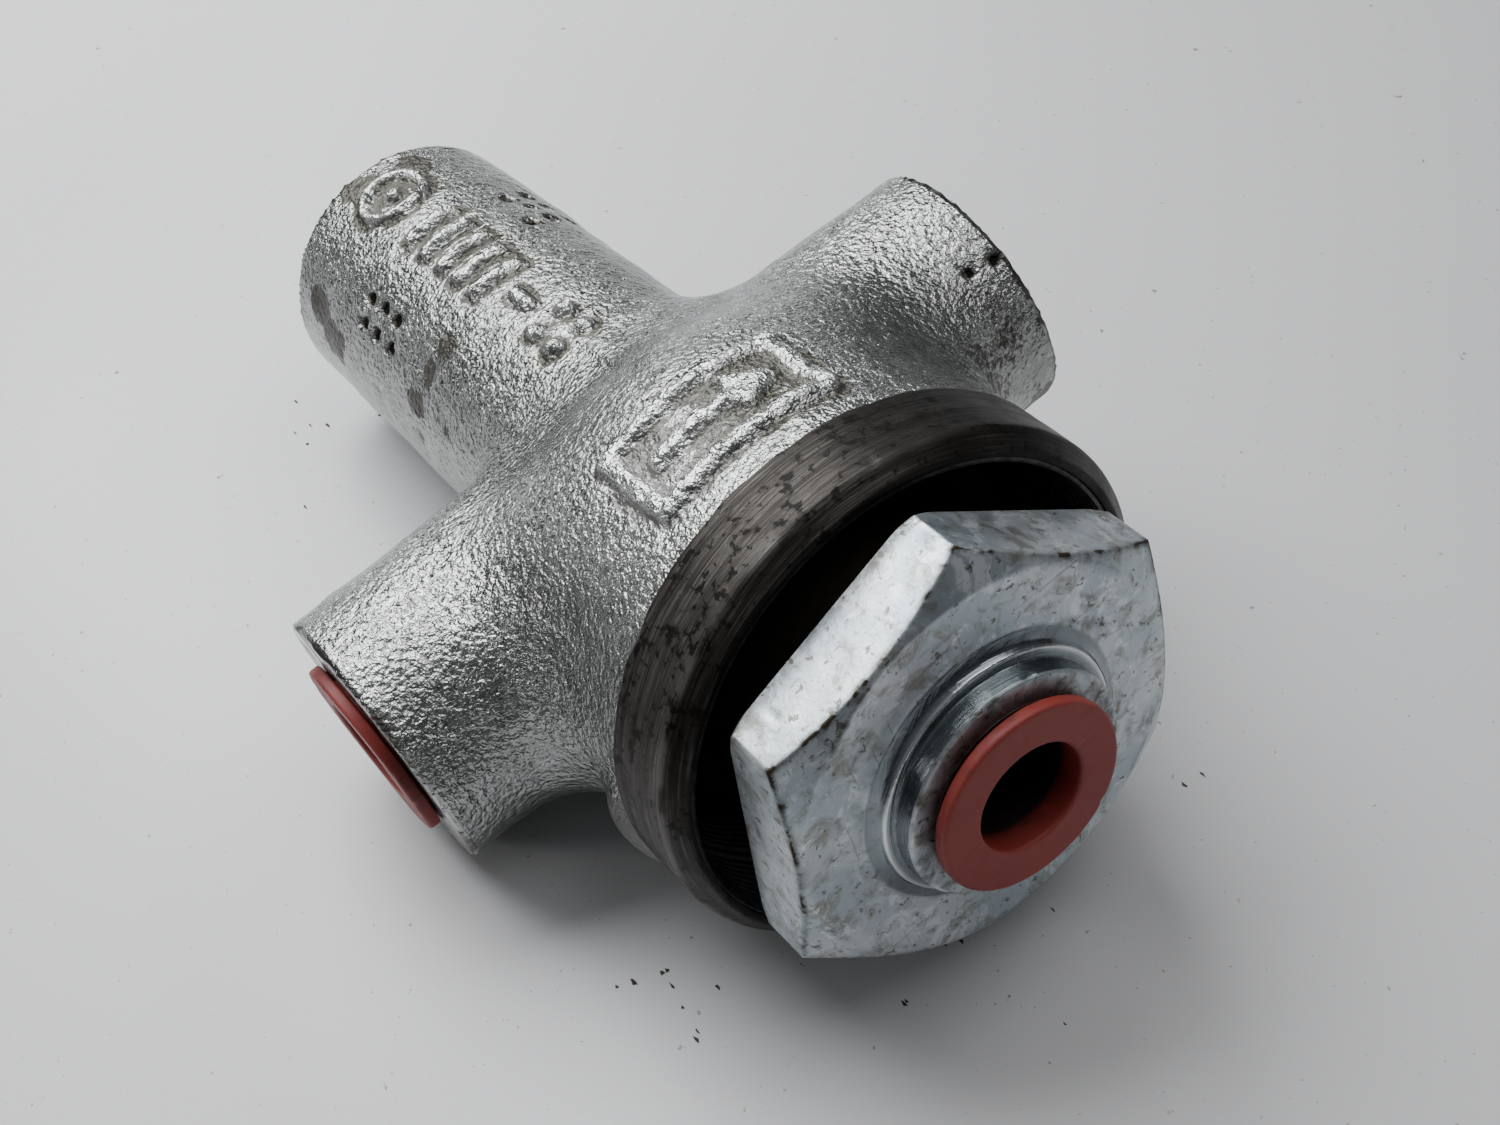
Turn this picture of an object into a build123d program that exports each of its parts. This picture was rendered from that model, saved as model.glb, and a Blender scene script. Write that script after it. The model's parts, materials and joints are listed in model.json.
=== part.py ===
"""Cartridge valve: a spring-loaded non-return cartridge in a cast body with two side arms.

Frame: millimetres, the main axis is X with +X towards the hexagon, +Y is the right arm, +Z is the
side with the raised casting marks. The origin is on the main axis, midway along the machined spigot.
"""

import os

from build123d import *

os.makedirs("parts", exist_ok=True)

# Casting, measured along the main axis
REAR_X = -111.2
ARM_X = -39.0
BOSS_R = 18.5
BOSS_FRONT_R = 19.5
BOSS_FRONT_X = -48.0
VALLEY_R = 12.0
SHOULDER_R = 30.0
BARREL_R = 31.0
SPIGOT_R = 32.4
SPIGOT_HALF = 4.4
MOUTH_X = 6.6
MOUTH_LIP_R = 30.5
MOUTH_BORE_R = 28.9
MOUTH_FLOOR_X = -13.0

# Remnant of the pouring gate
GATE_X = -8.6
GATE_R = 9.0
GATE_TOP_R = 34.2
GATE_TURN = 192.0

# Arms, measured across the main axis
LEFT_END = 47.5
RIGHT_END = 45.2
LEFT_R = 17.3
RIGHT_R = 16.7
ARM_ROOT_R = 17.9
ARM_FILLET = 7.0

# Ports: G1/2 threads drawn at their minor diameter
PORT_R = 9.32
PORT_DEPTH = 16.0
PORT_LEAD = 1.1
ARM_PASSAGE_R = 7.0

# Bores for the cartridge, front to rear
THREAD_BORE_R = 19.0
THREAD_END_X = -26.0
NOSE_BORE_R = 14.5
NOSE_BORE_END_X = -32.0
GALLERY_R = 16.0
GALLERY_END_X = -47.0
CAGE_BORE_R = 12.0
CAGE_BORE_END_X = -97.0
SPOTFACE_R = 13.9
SPOTFACE_DEPTH = 2.0

# Cartridge head
HEX_AF = 50.0
HEX_BACK_X = 9.7
HEX_FACE_X = 19.4
HEX_EDGE_X = 16.8
HEX_CHAMFER_R = 24.3
HEX_TURN = 78.0
COLLAR_R = 13.94
COLLAR_STEP_R = 15.2
COLLAR_STEP_X = 20.8
COLLAR_FRONT_X = 23.6
NECK_R = 20.0
SHOULDER_FLANGE_R = 24.0
SEAL_FACE_X = -11.5
INLET_R = 8.0
INLET_END_X = -12.0
THROAT_R = 5.5
SEAT_POCKET_R = 9.0
SEAT_POCKET_X = -22.0

# Running and assembly gaps
SLIDE_GAP = 0.05
FIT_GAP = 0.02

# Poppet
POPPET_R = 9.0
POPPET_TRAVEL = 5.0
SEAT_EDGE_X = -31.0
POPPET_TAIL_X = -60.0

# Dust caps
CAP_FLANGE_R = 11.8
CAP_FLANGE = 1.6
CAP_HOLE_R = 6.76
CAP_PLUG = 12.0
CAP_PLUG_R = 9.05
CAP_RIB_R = 9.28
FRONT_CAP_X = 26.2
LEFT_CAP_Y = -49.4

ARM_AXIS = Axis((ARM_X, 0, 0), (0, 1, 0))


# Raised foundry marks: a framed flow arrow on the barrel, a dot ring and tally bars on the boss
RELIEF = 0.75
with BuildPart() as relief_marks:
    with BuildSketch(Plane.XY.offset(14.0)):
        with Locations((-17.0, -0.3)):
            Rectangle(14.4, 24.6)
            Rectangle(10.0, 20.2, mode=Mode.SUBTRACT)
        with Locations((-17.0, -2.8)):
            Rectangle(2.4, 12.0)
        with Locations((-17.0, 4.6)):
            RegularPolygon(4.4, 3, rotation=90)
        with Locations((-101.5, 0.0)):
            Circle(5.0)
            Circle(3.7, mode=Mode.SUBTRACT)
            Circle(1.2)
        with Locations((-82.0, 0.0)):
            with GridLocations(4.4, 0, 5, 1):
                Rectangle(1.8, 8.0)
        with Locations((-66.0, 0.0)):
            Rectangle(5.0, 1.9)
        with Locations((-57.0, 0.0)):
            with GridLocations(4.6, 4.6, 2, 2):
                Circle(1.25)
    extrude(amount=20.0)
    with BuildSketch(Plane.XY):
        with BuildLine():
            top_boss = Line((REAR_X, BOSS_R + RELIEF), (BOSS_FRONT_X, BOSS_FRONT_R + RELIEF))
            top_valley = JernArc(top_boss @ 1, top_boss % 1, VALLEY_R - RELIEF, 41)
            top_shoulder = JernArc(top_valley @ 1, top_valley % 1, SHOULDER_R + RELIEF, -39)
            Polyline(
                top_shoulder @ 1,
                (-SPIGOT_HALF - 1.0, BARREL_R + RELIEF),
                (-SPIGOT_HALF - 1.0, 0),
                (REAR_X, 0),
                (REAR_X, BOSS_R + RELIEF),
            )
        make_face()
    revolve(axis=Axis.X, mode=Mode.INTERSECT)


# Rounded remnant of the pouring gate on the left flank, cut off flush with the back of the spigot
with BuildPart() as gate_remnant:
    with Locations(Location((GATE_X, 0, 0), (GATE_TURN, 0, 0))):
        with Locations((0, GATE_TOP_R - GATE_R, 0)):
            Sphere(GATE_R)
    split(bisect_by=Plane.YZ.offset(-SPIGOT_HALF), keep=Keep.BOTTOM)


# Valve body: turned casting outline first, then arms, marks and bores
with BuildPart() as valve_body:
    with BuildSketch(Plane.XY):
        with BuildLine():
            rear = Polyline((REAR_X, 0), (REAR_X, BOSS_R - 0.7), (REAR_X + 0.7, BOSS_R))
            boss = Line(rear @ 1, (BOSS_FRONT_X, BOSS_FRONT_R))
            valley = JernArc(boss @ 1, boss % 1, VALLEY_R, 41)
            shoulder = JernArc(valley @ 1, valley % 1, SHOULDER_R, -39)
            barrel = Line(shoulder @ 1, (-SPIGOT_HALF, BARREL_R))
            Polyline(
                barrel @ 1,
                (-SPIGOT_HALF, SPIGOT_R),
                (SPIGOT_HALF, SPIGOT_R),
                (MOUTH_X, MOUTH_LIP_R),
                (MOUTH_X, 0),
                (REAR_X, 0),
            )
        make_face()
    revolve(axis=Axis.X)

    # Side arms with a little casting draft
    with BuildSketch(Plane.XY):
        with BuildLine():
            Polyline(
                (ARM_X, -LEFT_END),
                (ARM_X + LEFT_R, -LEFT_END),
                (ARM_X + ARM_ROOT_R, 0),
                (ARM_X + RIGHT_R, RIGHT_END),
                (ARM_X, RIGHT_END),
                close=True,
            )
        make_face()
    revolve(axis=ARM_AXIS)
    arm_roots = edges(Select.LAST).filter_by(lambda e: 8 < abs(e.center().Y) < 35)
    fillet(arm_roots, ARM_FILLET)

    add(gate_remnant.part)
    add(relief_marks.part)

    # Mouth bore, cartridge thread bore, nose bore, gallery, cage bore and plug thread
    with BuildSketch(Plane.XY):
        with BuildLine():
            Polyline(
                (MOUTH_X, 0),
                (MOUTH_X, MOUTH_BORE_R + 0.6),
                (MOUTH_X - 0.6, MOUTH_BORE_R),
                (MOUTH_FLOOR_X, MOUTH_BORE_R),
                (MOUTH_FLOOR_X, THREAD_BORE_R + 0.8),
                (MOUTH_FLOOR_X - 0.8, THREAD_BORE_R),
                (THREAD_END_X, THREAD_BORE_R),
                (THREAD_END_X - 1.0, NOSE_BORE_R),
                (NOSE_BORE_END_X, NOSE_BORE_R),
                (NOSE_BORE_END_X, GALLERY_R),
                (GALLERY_END_X, GALLERY_R),
                (GALLERY_END_X - 4.0, CAGE_BORE_R),
                (CAGE_BORE_END_X, CAGE_BORE_R),
                (CAGE_BORE_END_X - 2.0, PORT_R),
                (REAR_X + SPOTFACE_DEPTH + PORT_LEAD, PORT_R),
                (REAR_X + SPOTFACE_DEPTH, PORT_R + PORT_LEAD),
                (REAR_X + SPOTFACE_DEPTH, SPOTFACE_R),
                (REAR_X, SPOTFACE_R),
                (REAR_X, 0),
                close=True,
            )
        make_face()
    revolve(axis=Axis.X, mode=Mode.SUBTRACT)

    # Left and right ports with their passages into the gallery
    with BuildSketch(Plane.XY):
        with BuildLine():
            Polyline(
                (ARM_X, -LEFT_END),
                (ARM_X + PORT_R + PORT_LEAD, -LEFT_END),
                (ARM_X + PORT_R, -LEFT_END + PORT_LEAD),
                (ARM_X + PORT_R, -LEFT_END + PORT_DEPTH),
                (ARM_X + ARM_PASSAGE_R, -LEFT_END + PORT_DEPTH + 2.0),
                (ARM_X + ARM_PASSAGE_R, RIGHT_END - PORT_DEPTH - 2.0),
                (ARM_X + PORT_R, RIGHT_END - PORT_DEPTH),
                (ARM_X + PORT_R, RIGHT_END - PORT_LEAD),
                (ARM_X + PORT_R + PORT_LEAD, RIGHT_END),
                (ARM_X, RIGHT_END),
                close=True,
            )
        make_face()
    revolve(axis=ARM_AXIS, mode=Mode.SUBTRACT)

    # Punched jaw marks, two rows of three, on both upper flanks of the rear boss
    for turn in (46.0, 134.4):
        with Locations(Location((REAR_X + 23.6, 0, 0), (turn, 0, 0))):
            with Locations(Location((0, BOSS_R + 1.1, 0), (-90, 0, 0))):
                with GridLocations(3.7, 3.6, 3, 2):
                    Sphere(1.2, mode=Mode.SUBTRACT)
valve_body.part.label = "valve_body"
export_step(valve_body.part, "parts/valve_body.step")

# Cartridge head: hexagon, collar with the inlet port, neck, sealing shoulder, thread shank and nose
with BuildPart() as cartridge_head:
    with BuildSketch(Plane.YZ.offset(HEX_BACK_X)):
        RegularPolygon(HEX_AF / 2, 6, major_radius=False, rotation=HEX_TURN)
    extrude(amount=HEX_FACE_X - HEX_BACK_X)
    with BuildSketch(Plane.XY):
        with BuildLine():
            Polyline(
                (HEX_BACK_X, 0),
                (HEX_BACK_X, 28.2),
                (HEX_BACK_X + 0.6, 29.2),
                (HEX_EDGE_X, 29.2),
                (HEX_FACE_X, HEX_CHAMFER_R),
                (HEX_FACE_X, 0),
                close=True,
            )
        make_face()
    revolve(axis=Axis.X, mode=Mode.INTERSECT)
    with BuildSketch(Plane.XY):
        with BuildLine():
            Polyline(
                (HEX_FACE_X, 0),
                (HEX_FACE_X, COLLAR_STEP_R + 1.5),
                (HEX_FACE_X + 0.4, COLLAR_STEP_R + 0.5),
                (COLLAR_STEP_X - 0.3, COLLAR_STEP_R),
                (COLLAR_STEP_X, COLLAR_STEP_R - 0.3),
                (COLLAR_STEP_X, COLLAR_R),
                (COLLAR_FRONT_X - 0.5, COLLAR_R),
                (COLLAR_FRONT_X, COLLAR_R - 0.5),
                (COLLAR_FRONT_X, 0),
                close=True,
            )
        make_face()
        with BuildLine():
            Polyline(
                (HEX_BACK_X, 0),
                (HEX_BACK_X, NECK_R),
                (-6.0, NECK_R),
                (-7.0, SHOULDER_FLANGE_R - 1.0),
                (-8.0, SHOULDER_FLANGE_R),
                (SEAL_FACE_X, SHOULDER_FLANGE_R),
                (SEAL_FACE_X, THREAD_BORE_R - 1.2),
                (SEAL_FACE_X - 3.0, THREAD_BORE_R - 1.2),
                (SEAL_FACE_X - 3.8, THREAD_BORE_R - FIT_GAP),
                (THREAD_END_X + 2.0, THREAD_BORE_R - FIT_GAP),
                (THREAD_END_X + 1.0, NOSE_BORE_R + 2.0),
                (THREAD_END_X + 1.0, NOSE_BORE_R - FIT_GAP),
                (-27.0, NOSE_BORE_R - FIT_GAP),
                (-27.0, NOSE_BORE_R - 2.0),
                (-31.0, NOSE_BORE_R - 2.0),
                (-31.0, NOSE_BORE_R - FIT_GAP),
                (-31.7, NOSE_BORE_R - FIT_GAP),
                (-32.0, NOSE_BORE_R - 0.4),
                (-32.0, 0),
                close=True,
            )
        make_face()
    revolve(axis=Axis.X)
    with BuildSketch(Plane.XY):
        with BuildLine():
            Polyline(
                (COLLAR_FRONT_X, 0),
                (COLLAR_FRONT_X, PORT_R + PORT_LEAD),
                (COLLAR_FRONT_X - PORT_LEAD, PORT_R),
                (COLLAR_FRONT_X - 14.0, PORT_R),
                (COLLAR_FRONT_X - 14.0, INLET_R),
                (8.9, INLET_R),
                (8.9, INLET_R + 0.6),
                (7.8, INLET_R + 0.6),
                (7.8, INLET_R),
                (INLET_END_X, INLET_R),
                (INLET_END_X - 2.5, THROAT_R),
                (SEAT_POCKET_X, THROAT_R),
                (SEAT_POCKET_X, SEAT_POCKET_R),
                (-32.0, SEAT_POCKET_R),
                (-32.0, 0),
                close=True,
            )
        make_face()
    revolve(axis=Axis.X, mode=Mode.SUBTRACT)
cartridge_head.part.label = "cartridge_head"
export_step(cartridge_head.part, "parts/cartridge_head.step")

# Bonded seal washer under the head: steel outer ring and rubber inner ring
with BuildPart() as head_seal_washer:
    with BuildSketch(Plane.YZ.offset(MOUTH_FLOOR_X)):
        Circle(SHOULDER_FLANGE_R)
        Circle(21.0, mode=Mode.SUBTRACT)
    extrude(amount=SEAL_FACE_X - MOUTH_FLOOR_X)
head_seal_washer.part.label = "head_seal_washer"
export_step(head_seal_washer.part, "parts/head_seal_washer.step")

with BuildPart() as head_seal_rubber:
    with BuildSketch(Plane.YZ.offset(MOUTH_FLOOR_X)):
        Circle(21.0)
        Circle(19.9, mode=Mode.SUBTRACT)
    extrude(amount=SEAL_FACE_X - MOUTH_FLOOR_X)
head_seal_rubber.part.label = "head_seal_rubber"
export_step(head_seal_rubber.part, "parts/head_seal_rubber.step")

# O-ring and back-up ring on the cartridge nose
with BuildPart() as head_o_ring:
    with BuildSketch(Plane.XY):
        with Locations((-28.3, NOSE_BORE_R - 1.0)):
            RectangleRounded(2.4, 1.96, 0.9)
    revolve(axis=Axis.X)
head_o_ring.part.label = "head_o_ring"
export_step(head_o_ring.part, "parts/head_o_ring.step")

with BuildPart() as head_backup_ring:
    with BuildSketch(Plane.YZ.offset(-30.9)):
        Circle(NOSE_BORE_R - FIT_GAP)
        Circle(NOSE_BORE_R - 1.95, mode=Mode.SUBTRACT)
    extrude(amount=1.3)
head_backup_ring.part.label = "head_backup_ring"
export_step(head_backup_ring.part, "parts/head_backup_ring.step")

# Seat ring in the nose, with its own O-ring
with BuildPart() as seat_ring:
    with BuildSketch(Plane.XY):
        with BuildLine():
            Polyline(
                (SEAT_POCKET_X - FIT_GAP, THROAT_R),
                (SEAT_POCKET_X - FIT_GAP, SEAT_POCKET_R - FIT_GAP),
                (-24.6, SEAT_POCKET_R - FIT_GAP),
                (-24.6, SEAT_POCKET_R - 1.4),
                (-27.2, SEAT_POCKET_R - 1.4),
                (-27.2, SEAT_POCKET_R - FIT_GAP),
                (-31.6, SEAT_POCKET_R - FIT_GAP),
                (-31.6, THROAT_R + 0.6),
                (SEAT_EDGE_X, THROAT_R),
                close=True,
            )
        make_face()
    revolve(axis=Axis.X)
seat_ring.part.label = "seat_ring"
export_step(seat_ring.part, "parts/seat_ring.step")

with BuildPart() as seat_o_ring:
    with BuildSketch(Plane.XY):
        with Locations((-25.9, SEAT_POCKET_R - 0.7)):
            RectangleRounded(2.2, 1.34, 0.6)
    revolve(axis=Axis.X)
seat_o_ring.part.label = "seat_o_ring"
export_step(seat_o_ring.part, "parts/seat_o_ring.step")

# Inlet strainer: a perforated cup with a rim, held by a circlip
with BuildPart() as inlet_strainer:
    with BuildSketch(Plane.XY):
        with BuildLine():
            Polyline(
                (7.7, 5.2),
                (7.7, INLET_R - FIT_GAP),
                (6.2, INLET_R - FIT_GAP),
                (6.2, 6.2),
                (-9.0, 6.2),
                (-11.0, 4.2),
                (-11.0, 0),
                (-10.2, 0),
                (-10.2, 3.8),
                (-8.6, 5.4),
                (7.0, 5.4),
                close=True,
            )
        make_face()
    revolve(axis=Axis.X)
    for ring_x in (4.0, 0.5, -3.0, -6.5):
        with Locations(Location((ring_x, 0, 0), (0, 90, 0))):
            with PolarLocations(0, 4):
                Cylinder(0.8, 14.0, rotation=(90, 0, 0), mode=Mode.SUBTRACT)
inlet_strainer.part.label = "inlet_strainer"
export_step(inlet_strainer.part, "parts/inlet_strainer.step")

with BuildPart() as strainer_circlip:
    with BuildSketch(Plane.YZ.offset(7.82)):
        Circle(INLET_R + 0.55)
        Circle(INLET_R - 1.0, mode=Mode.SUBTRACT)
        with Locations((0, -INLET_R)):
            Rectangle(5.0, 4.0, mode=Mode.SUBTRACT)
    extrude(amount=1.0)
strainer_circlip.part.label = "strainer_circlip"
export_step(strainer_circlip.part, "parts/strainer_circlip.step")

# Flow cage: a sleeve from the nose back into the rear boss, with side windows at the gallery
CAGE_R = CAGE_BORE_R - FIT_GAP
CAGE_FRONT_X = -32.05
CAGE_REAR_X = -96.0
CAGE_STOP_X = POPPET_TAIL_X - POPPET_TRAVEL
CAGE_TAIL_R = 7.6
with BuildPart() as flow_cage:
    with BuildSketch(Plane.XY):
        with BuildLine():
            Polyline(
                (CAGE_FRONT_X, 10.2),
                (CAGE_FRONT_X, CAGE_R),
                (-72.0, CAGE_R),
                (-72.0, CAGE_R - 1.9),
                (-75.9, CAGE_R - 1.9),
                (-75.9, CAGE_R),
                (CAGE_REAR_X + 0.6, CAGE_R),
                (CAGE_REAR_X, CAGE_R - 0.6),
                (CAGE_REAR_X, CAGE_TAIL_R),
                (-92.4, CAGE_TAIL_R),
                (-92.4, CAGE_TAIL_R + 0.7),
                (-91.2, CAGE_TAIL_R + 0.7),
                (-91.2, CAGE_TAIL_R),
                (CAGE_STOP_X, CAGE_TAIL_R),
                (CAGE_STOP_X, POPPET_R + SLIDE_GAP),
                (-44.0, POPPET_R + SLIDE_GAP),
                (-43.0, 10.2),
                close=True,
            )
        make_face()
    revolve(axis=Axis.X)
    with Locations(Location((ARM_X, 0, 0), (0, 90, 0))):
        with PolarLocations(0, 3):
            Cylinder(3.4, 30.0, rotation=(90, 0, 0), mode=Mode.SUBTRACT)
flow_cage.part.label = "flow_cage"
export_step(flow_cage.part, "parts/flow_cage.step")

with BuildPart() as cage_o_ring:
    with BuildSketch(Plane.XY):
        with Locations((-73.25, CAGE_R - 0.94)):
            RectangleRounded(2.3, 1.84, 0.85)
    revolve(axis=Axis.X)
cage_o_ring.part.label = "cage_o_ring"
export_step(cage_o_ring.part, "parts/cage_o_ring.step")

with BuildPart() as cage_backup_ring:
    with BuildSketch(Plane.YZ.offset(-75.8)):
        Circle(CAGE_R)
        Circle(CAGE_R - 1.85, mode=Mode.SUBTRACT)
    extrude(amount=1.3)
cage_backup_ring.part.label = "cage_backup_ring"
export_step(cage_backup_ring.part, "parts/cage_backup_ring.step")

# Poppet: cone on the seat edge, hollow tail for the spring, cross holes and a guide ring groove
with BuildPart() as poppet:
    with BuildSketch(Plane.XY):
        with BuildLine():
            Polyline(
                (-28.6, 0),
                (-28.6, 2.4),
                (SEAT_EDGE_X - 0.05, THROAT_R - 0.15),
                (-34.2, POPPET_R - 0.9),
                (-43.8, POPPET_R - 0.9),
                (-44.8, POPPET_R),
                (-49.0, POPPET_R),
                (-49.0, POPPET_R - 1.0),
                (-52.0, POPPET_R - 1.0),
                (-52.0, POPPET_R),
                (POPPET_TAIL_X + 0.5, POPPET_R),
                (POPPET_TAIL_X, POPPET_R - 0.5),
                (POPPET_TAIL_X, 6.6),
                (-41.0, 6.6),
                (-40.0, 5.6),
                (-40.0, 0),
                close=True,
            )
        make_face()
    revolve(axis=Axis.X)
    with Locations(Location((-46.2, 0, 0), (0, 90, 0))):
        with PolarLocations(0, 2):
            Cylinder(0.8, 24.0, rotation=(90, 0, 0), mode=Mode.SUBTRACT)
poppet.part.label = "poppet"
export_step(poppet.part, "parts/poppet.step")

with BuildPart() as poppet_guide_ring:
    with BuildSketch(Plane.YZ.offset(-51.95)):
        Circle(POPPET_R + 0.01)
        Circle(POPPET_R - 0.98, mode=Mode.SUBTRACT)
    extrude(amount=2.9)
poppet_guide_ring.part.label = "poppet_guide_ring"
export_step(poppet_guide_ring.part, "parts/poppet_guide_ring.step")

# Compression spring between the poppet and the spring seat
SPRING_R = 5.2
SPRING_WIRE_R = 0.7
SPRING_FRONT_X = -41.1
SPRING_REAR_X = -86.4
SPRING_PITCH = 4.1
with BuildPart() as poppet_spring:
    with BuildLine() as coil:
        Helix(
            pitch=SPRING_PITCH,
            height=SPRING_FRONT_X - SPRING_REAR_X - 2 * SPRING_WIRE_R - 0.1,
            radius=SPRING_R,
            center=(SPRING_REAR_X + SPRING_WIRE_R + 0.05, 0, 0),
            direction=(1, 0, 0),
        )
    with BuildSketch(Plane(origin=coil.line @ 0, z_dir=coil.line % 0)):
        Circle(SPRING_WIRE_R)
    sweep(is_frenet=True)
poppet_spring.part.label = "poppet_spring"
export_step(poppet_spring.part, "parts/poppet_spring.step")

# Spring seat, setting shims and the circlip that holds them in the cage
with BuildPart() as spring_seat:
    with BuildSketch(Plane.XY):
        with BuildLine():
            Polyline(
                (-82.0, 1.6),
                (-82.0, 3.9),
                (-82.6, 4.4),
                (SPRING_REAR_X, 4.4),
                (SPRING_REAR_X, CAGE_TAIL_R - FIT_GAP),
                (-89.0, CAGE_TAIL_R - FIT_GAP),
                (-89.0, 1.6),
                close=True,
            )
        make_face()
    revolve(axis=Axis.X)
spring_seat.part.label = "spring_seat"
export_step(spring_seat.part, "parts/spring_seat.step")

with BuildPart() as shim_washers:
    for shim_x in (-89.75, -90.5, -91.15):
        with BuildSketch(Plane.YZ.offset(shim_x)):
            Circle(CAGE_TAIL_R - 0.1)
            Circle(3.0, mode=Mode.SUBTRACT)
        extrude(amount=0.6)
shim_washers.part.label = "shim_washers"
export_step(shim_washers.part, "parts/shim_washers.step")

with BuildPart() as cage_circlip:
    with BuildSketch(Plane.YZ.offset(-92.35)):
        Circle(CAGE_TAIL_R + 0.65)
        Circle(CAGE_TAIL_R - 1.1, mode=Mode.SUBTRACT)
        with Locations((0, -CAGE_TAIL_R)):
            Rectangle(5.0, 4.0, mode=Mode.SUBTRACT)
    extrude(amount=1.1)
cage_circlip.part.label = "cage_circlip"
export_step(cage_circlip.part, "parts/cage_circlip.step")

# Hexagon-socket plug that closes the rear boss, on a soft seal washer
PLUG_SEAT_X = REAR_X + SPOTFACE_DEPTH
PLUG_SEAL = 1.5
PLUG_HEAD_R = 13.0
PLUG_HEAD = 4.0
with BuildPart() as rear_plug:
    with BuildSketch(Plane.XY):
        with BuildLine():
            Polyline(
                (PLUG_SEAT_X - PLUG_SEAL - PLUG_HEAD, 0),
                (PLUG_SEAT_X - PLUG_SEAL - PLUG_HEAD, PLUG_HEAD_R - 0.8),
                (PLUG_SEAT_X - PLUG_SEAL - PLUG_HEAD + 0.8, PLUG_HEAD_R),
                (PLUG_SEAT_X - PLUG_SEAL, PLUG_HEAD_R),
                (PLUG_SEAT_X - PLUG_SEAL, PORT_R - 1.0),
                (PLUG_SEAT_X + 1.4, PORT_R - 1.0),
                (PLUG_SEAT_X + 2.2, PORT_R - FIT_GAP),
                (PLUG_SEAT_X + 8.0, PORT_R - FIT_GAP),
                (PLUG_SEAT_X + 9.0, PORT_R - 1.0),
                (PLUG_SEAT_X + 9.0, 0),
                close=True,
            )
        make_face()
    revolve(axis=Axis.X)
    with BuildSketch(Plane.YZ.offset(PLUG_SEAT_X - PLUG_SEAL - PLUG_HEAD)):
        RegularPolygon(5.0, 6, major_radius=False)
    extrude(amount=7.0, mode=Mode.SUBTRACT)
rear_plug.part.label = "rear_plug"
export_step(rear_plug.part, "parts/rear_plug.step")

with BuildPart() as rear_plug_seal:
    with BuildSketch(Plane.YZ.offset(PLUG_SEAT_X - PLUG_SEAL)):
        Circle(PLUG_HEAD_R)
        Circle(PORT_R + 1.15, mode=Mode.SUBTRACT)
    extrude(amount=PLUG_SEAL)
rear_plug_seal.part.label = "rear_plug_seal"
export_step(rear_plug_seal.part, "parts/rear_plug_seal.step")

# Push-in dust caps: flange, blind hole and three sealing ribs; both ports take the same cap
CAP_END = CAP_FLANGE + CAP_PLUG
with BuildPart() as dust_cap:
    with BuildSketch(Plane.XY):
        with BuildLine():
            Polyline(
                (-CAP_END, 0),
                (-CAP_END, CAP_PLUG_R - 0.9),
                (0.8 - CAP_END, CAP_PLUG_R - 0.1),
                (-CAP_FLANGE, CAP_PLUG_R),
                (-CAP_FLANGE, CAP_FLANGE_R),
                (-0.4, CAP_FLANGE_R),
                (0, CAP_FLANGE_R - 0.4),
                (0, CAP_HOLE_R + 0.3),
                (-0.3, CAP_HOLE_R),
                (1.5 - CAP_END, CAP_HOLE_R - 0.3),
                (1.5 - CAP_END, 0),
                close=True,
            )
        make_face()
        with Locations((-6.0, CAP_PLUG_R - 0.2), (-8.6, CAP_PLUG_R - 0.2), (-11.2, CAP_PLUG_R - 0.2)):
            Trapezoid(1.1, 2 * (CAP_RIB_R - CAP_PLUG_R + 0.2), 70)
    revolve(axis=Axis.X)

with BuildPart() as front_port_cap:
    with Locations(Location((FRONT_CAP_X, 0, 0))):
        add(dust_cap.part)
front_port_cap.part.label = "front_port_cap"
export_step(front_port_cap.part, "parts/front_port_cap.step")

with BuildPart() as left_port_cap:
    with Locations(Location((ARM_X, LEFT_CAP_Y, 0), (0, 0, -90))):
        add(dust_cap.part)
left_port_cap.part.label = "left_port_cap"
export_step(left_port_cap.part, "parts/left_port_cap.step")
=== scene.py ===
import json
import math

import bpy
import numpy as np
from mathutils import Matrix, Vector


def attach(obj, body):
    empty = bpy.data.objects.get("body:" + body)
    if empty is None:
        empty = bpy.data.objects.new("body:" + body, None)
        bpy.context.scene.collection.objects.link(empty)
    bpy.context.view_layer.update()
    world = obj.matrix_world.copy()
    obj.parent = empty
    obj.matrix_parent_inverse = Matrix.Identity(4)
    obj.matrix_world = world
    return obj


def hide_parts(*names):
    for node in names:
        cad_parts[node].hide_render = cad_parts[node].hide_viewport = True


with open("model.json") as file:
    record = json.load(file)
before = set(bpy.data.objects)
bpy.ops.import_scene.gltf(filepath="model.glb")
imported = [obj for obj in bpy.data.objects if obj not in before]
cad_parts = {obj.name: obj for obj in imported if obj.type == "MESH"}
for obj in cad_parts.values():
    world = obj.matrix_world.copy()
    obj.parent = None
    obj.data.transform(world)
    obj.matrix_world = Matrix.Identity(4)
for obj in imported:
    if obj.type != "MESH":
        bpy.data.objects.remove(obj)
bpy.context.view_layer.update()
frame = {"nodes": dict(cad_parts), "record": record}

NODES = frame["nodes"]
MM = 0.001
TAU = 2 * math.pi
SIXTH = math.pi / 3

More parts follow.
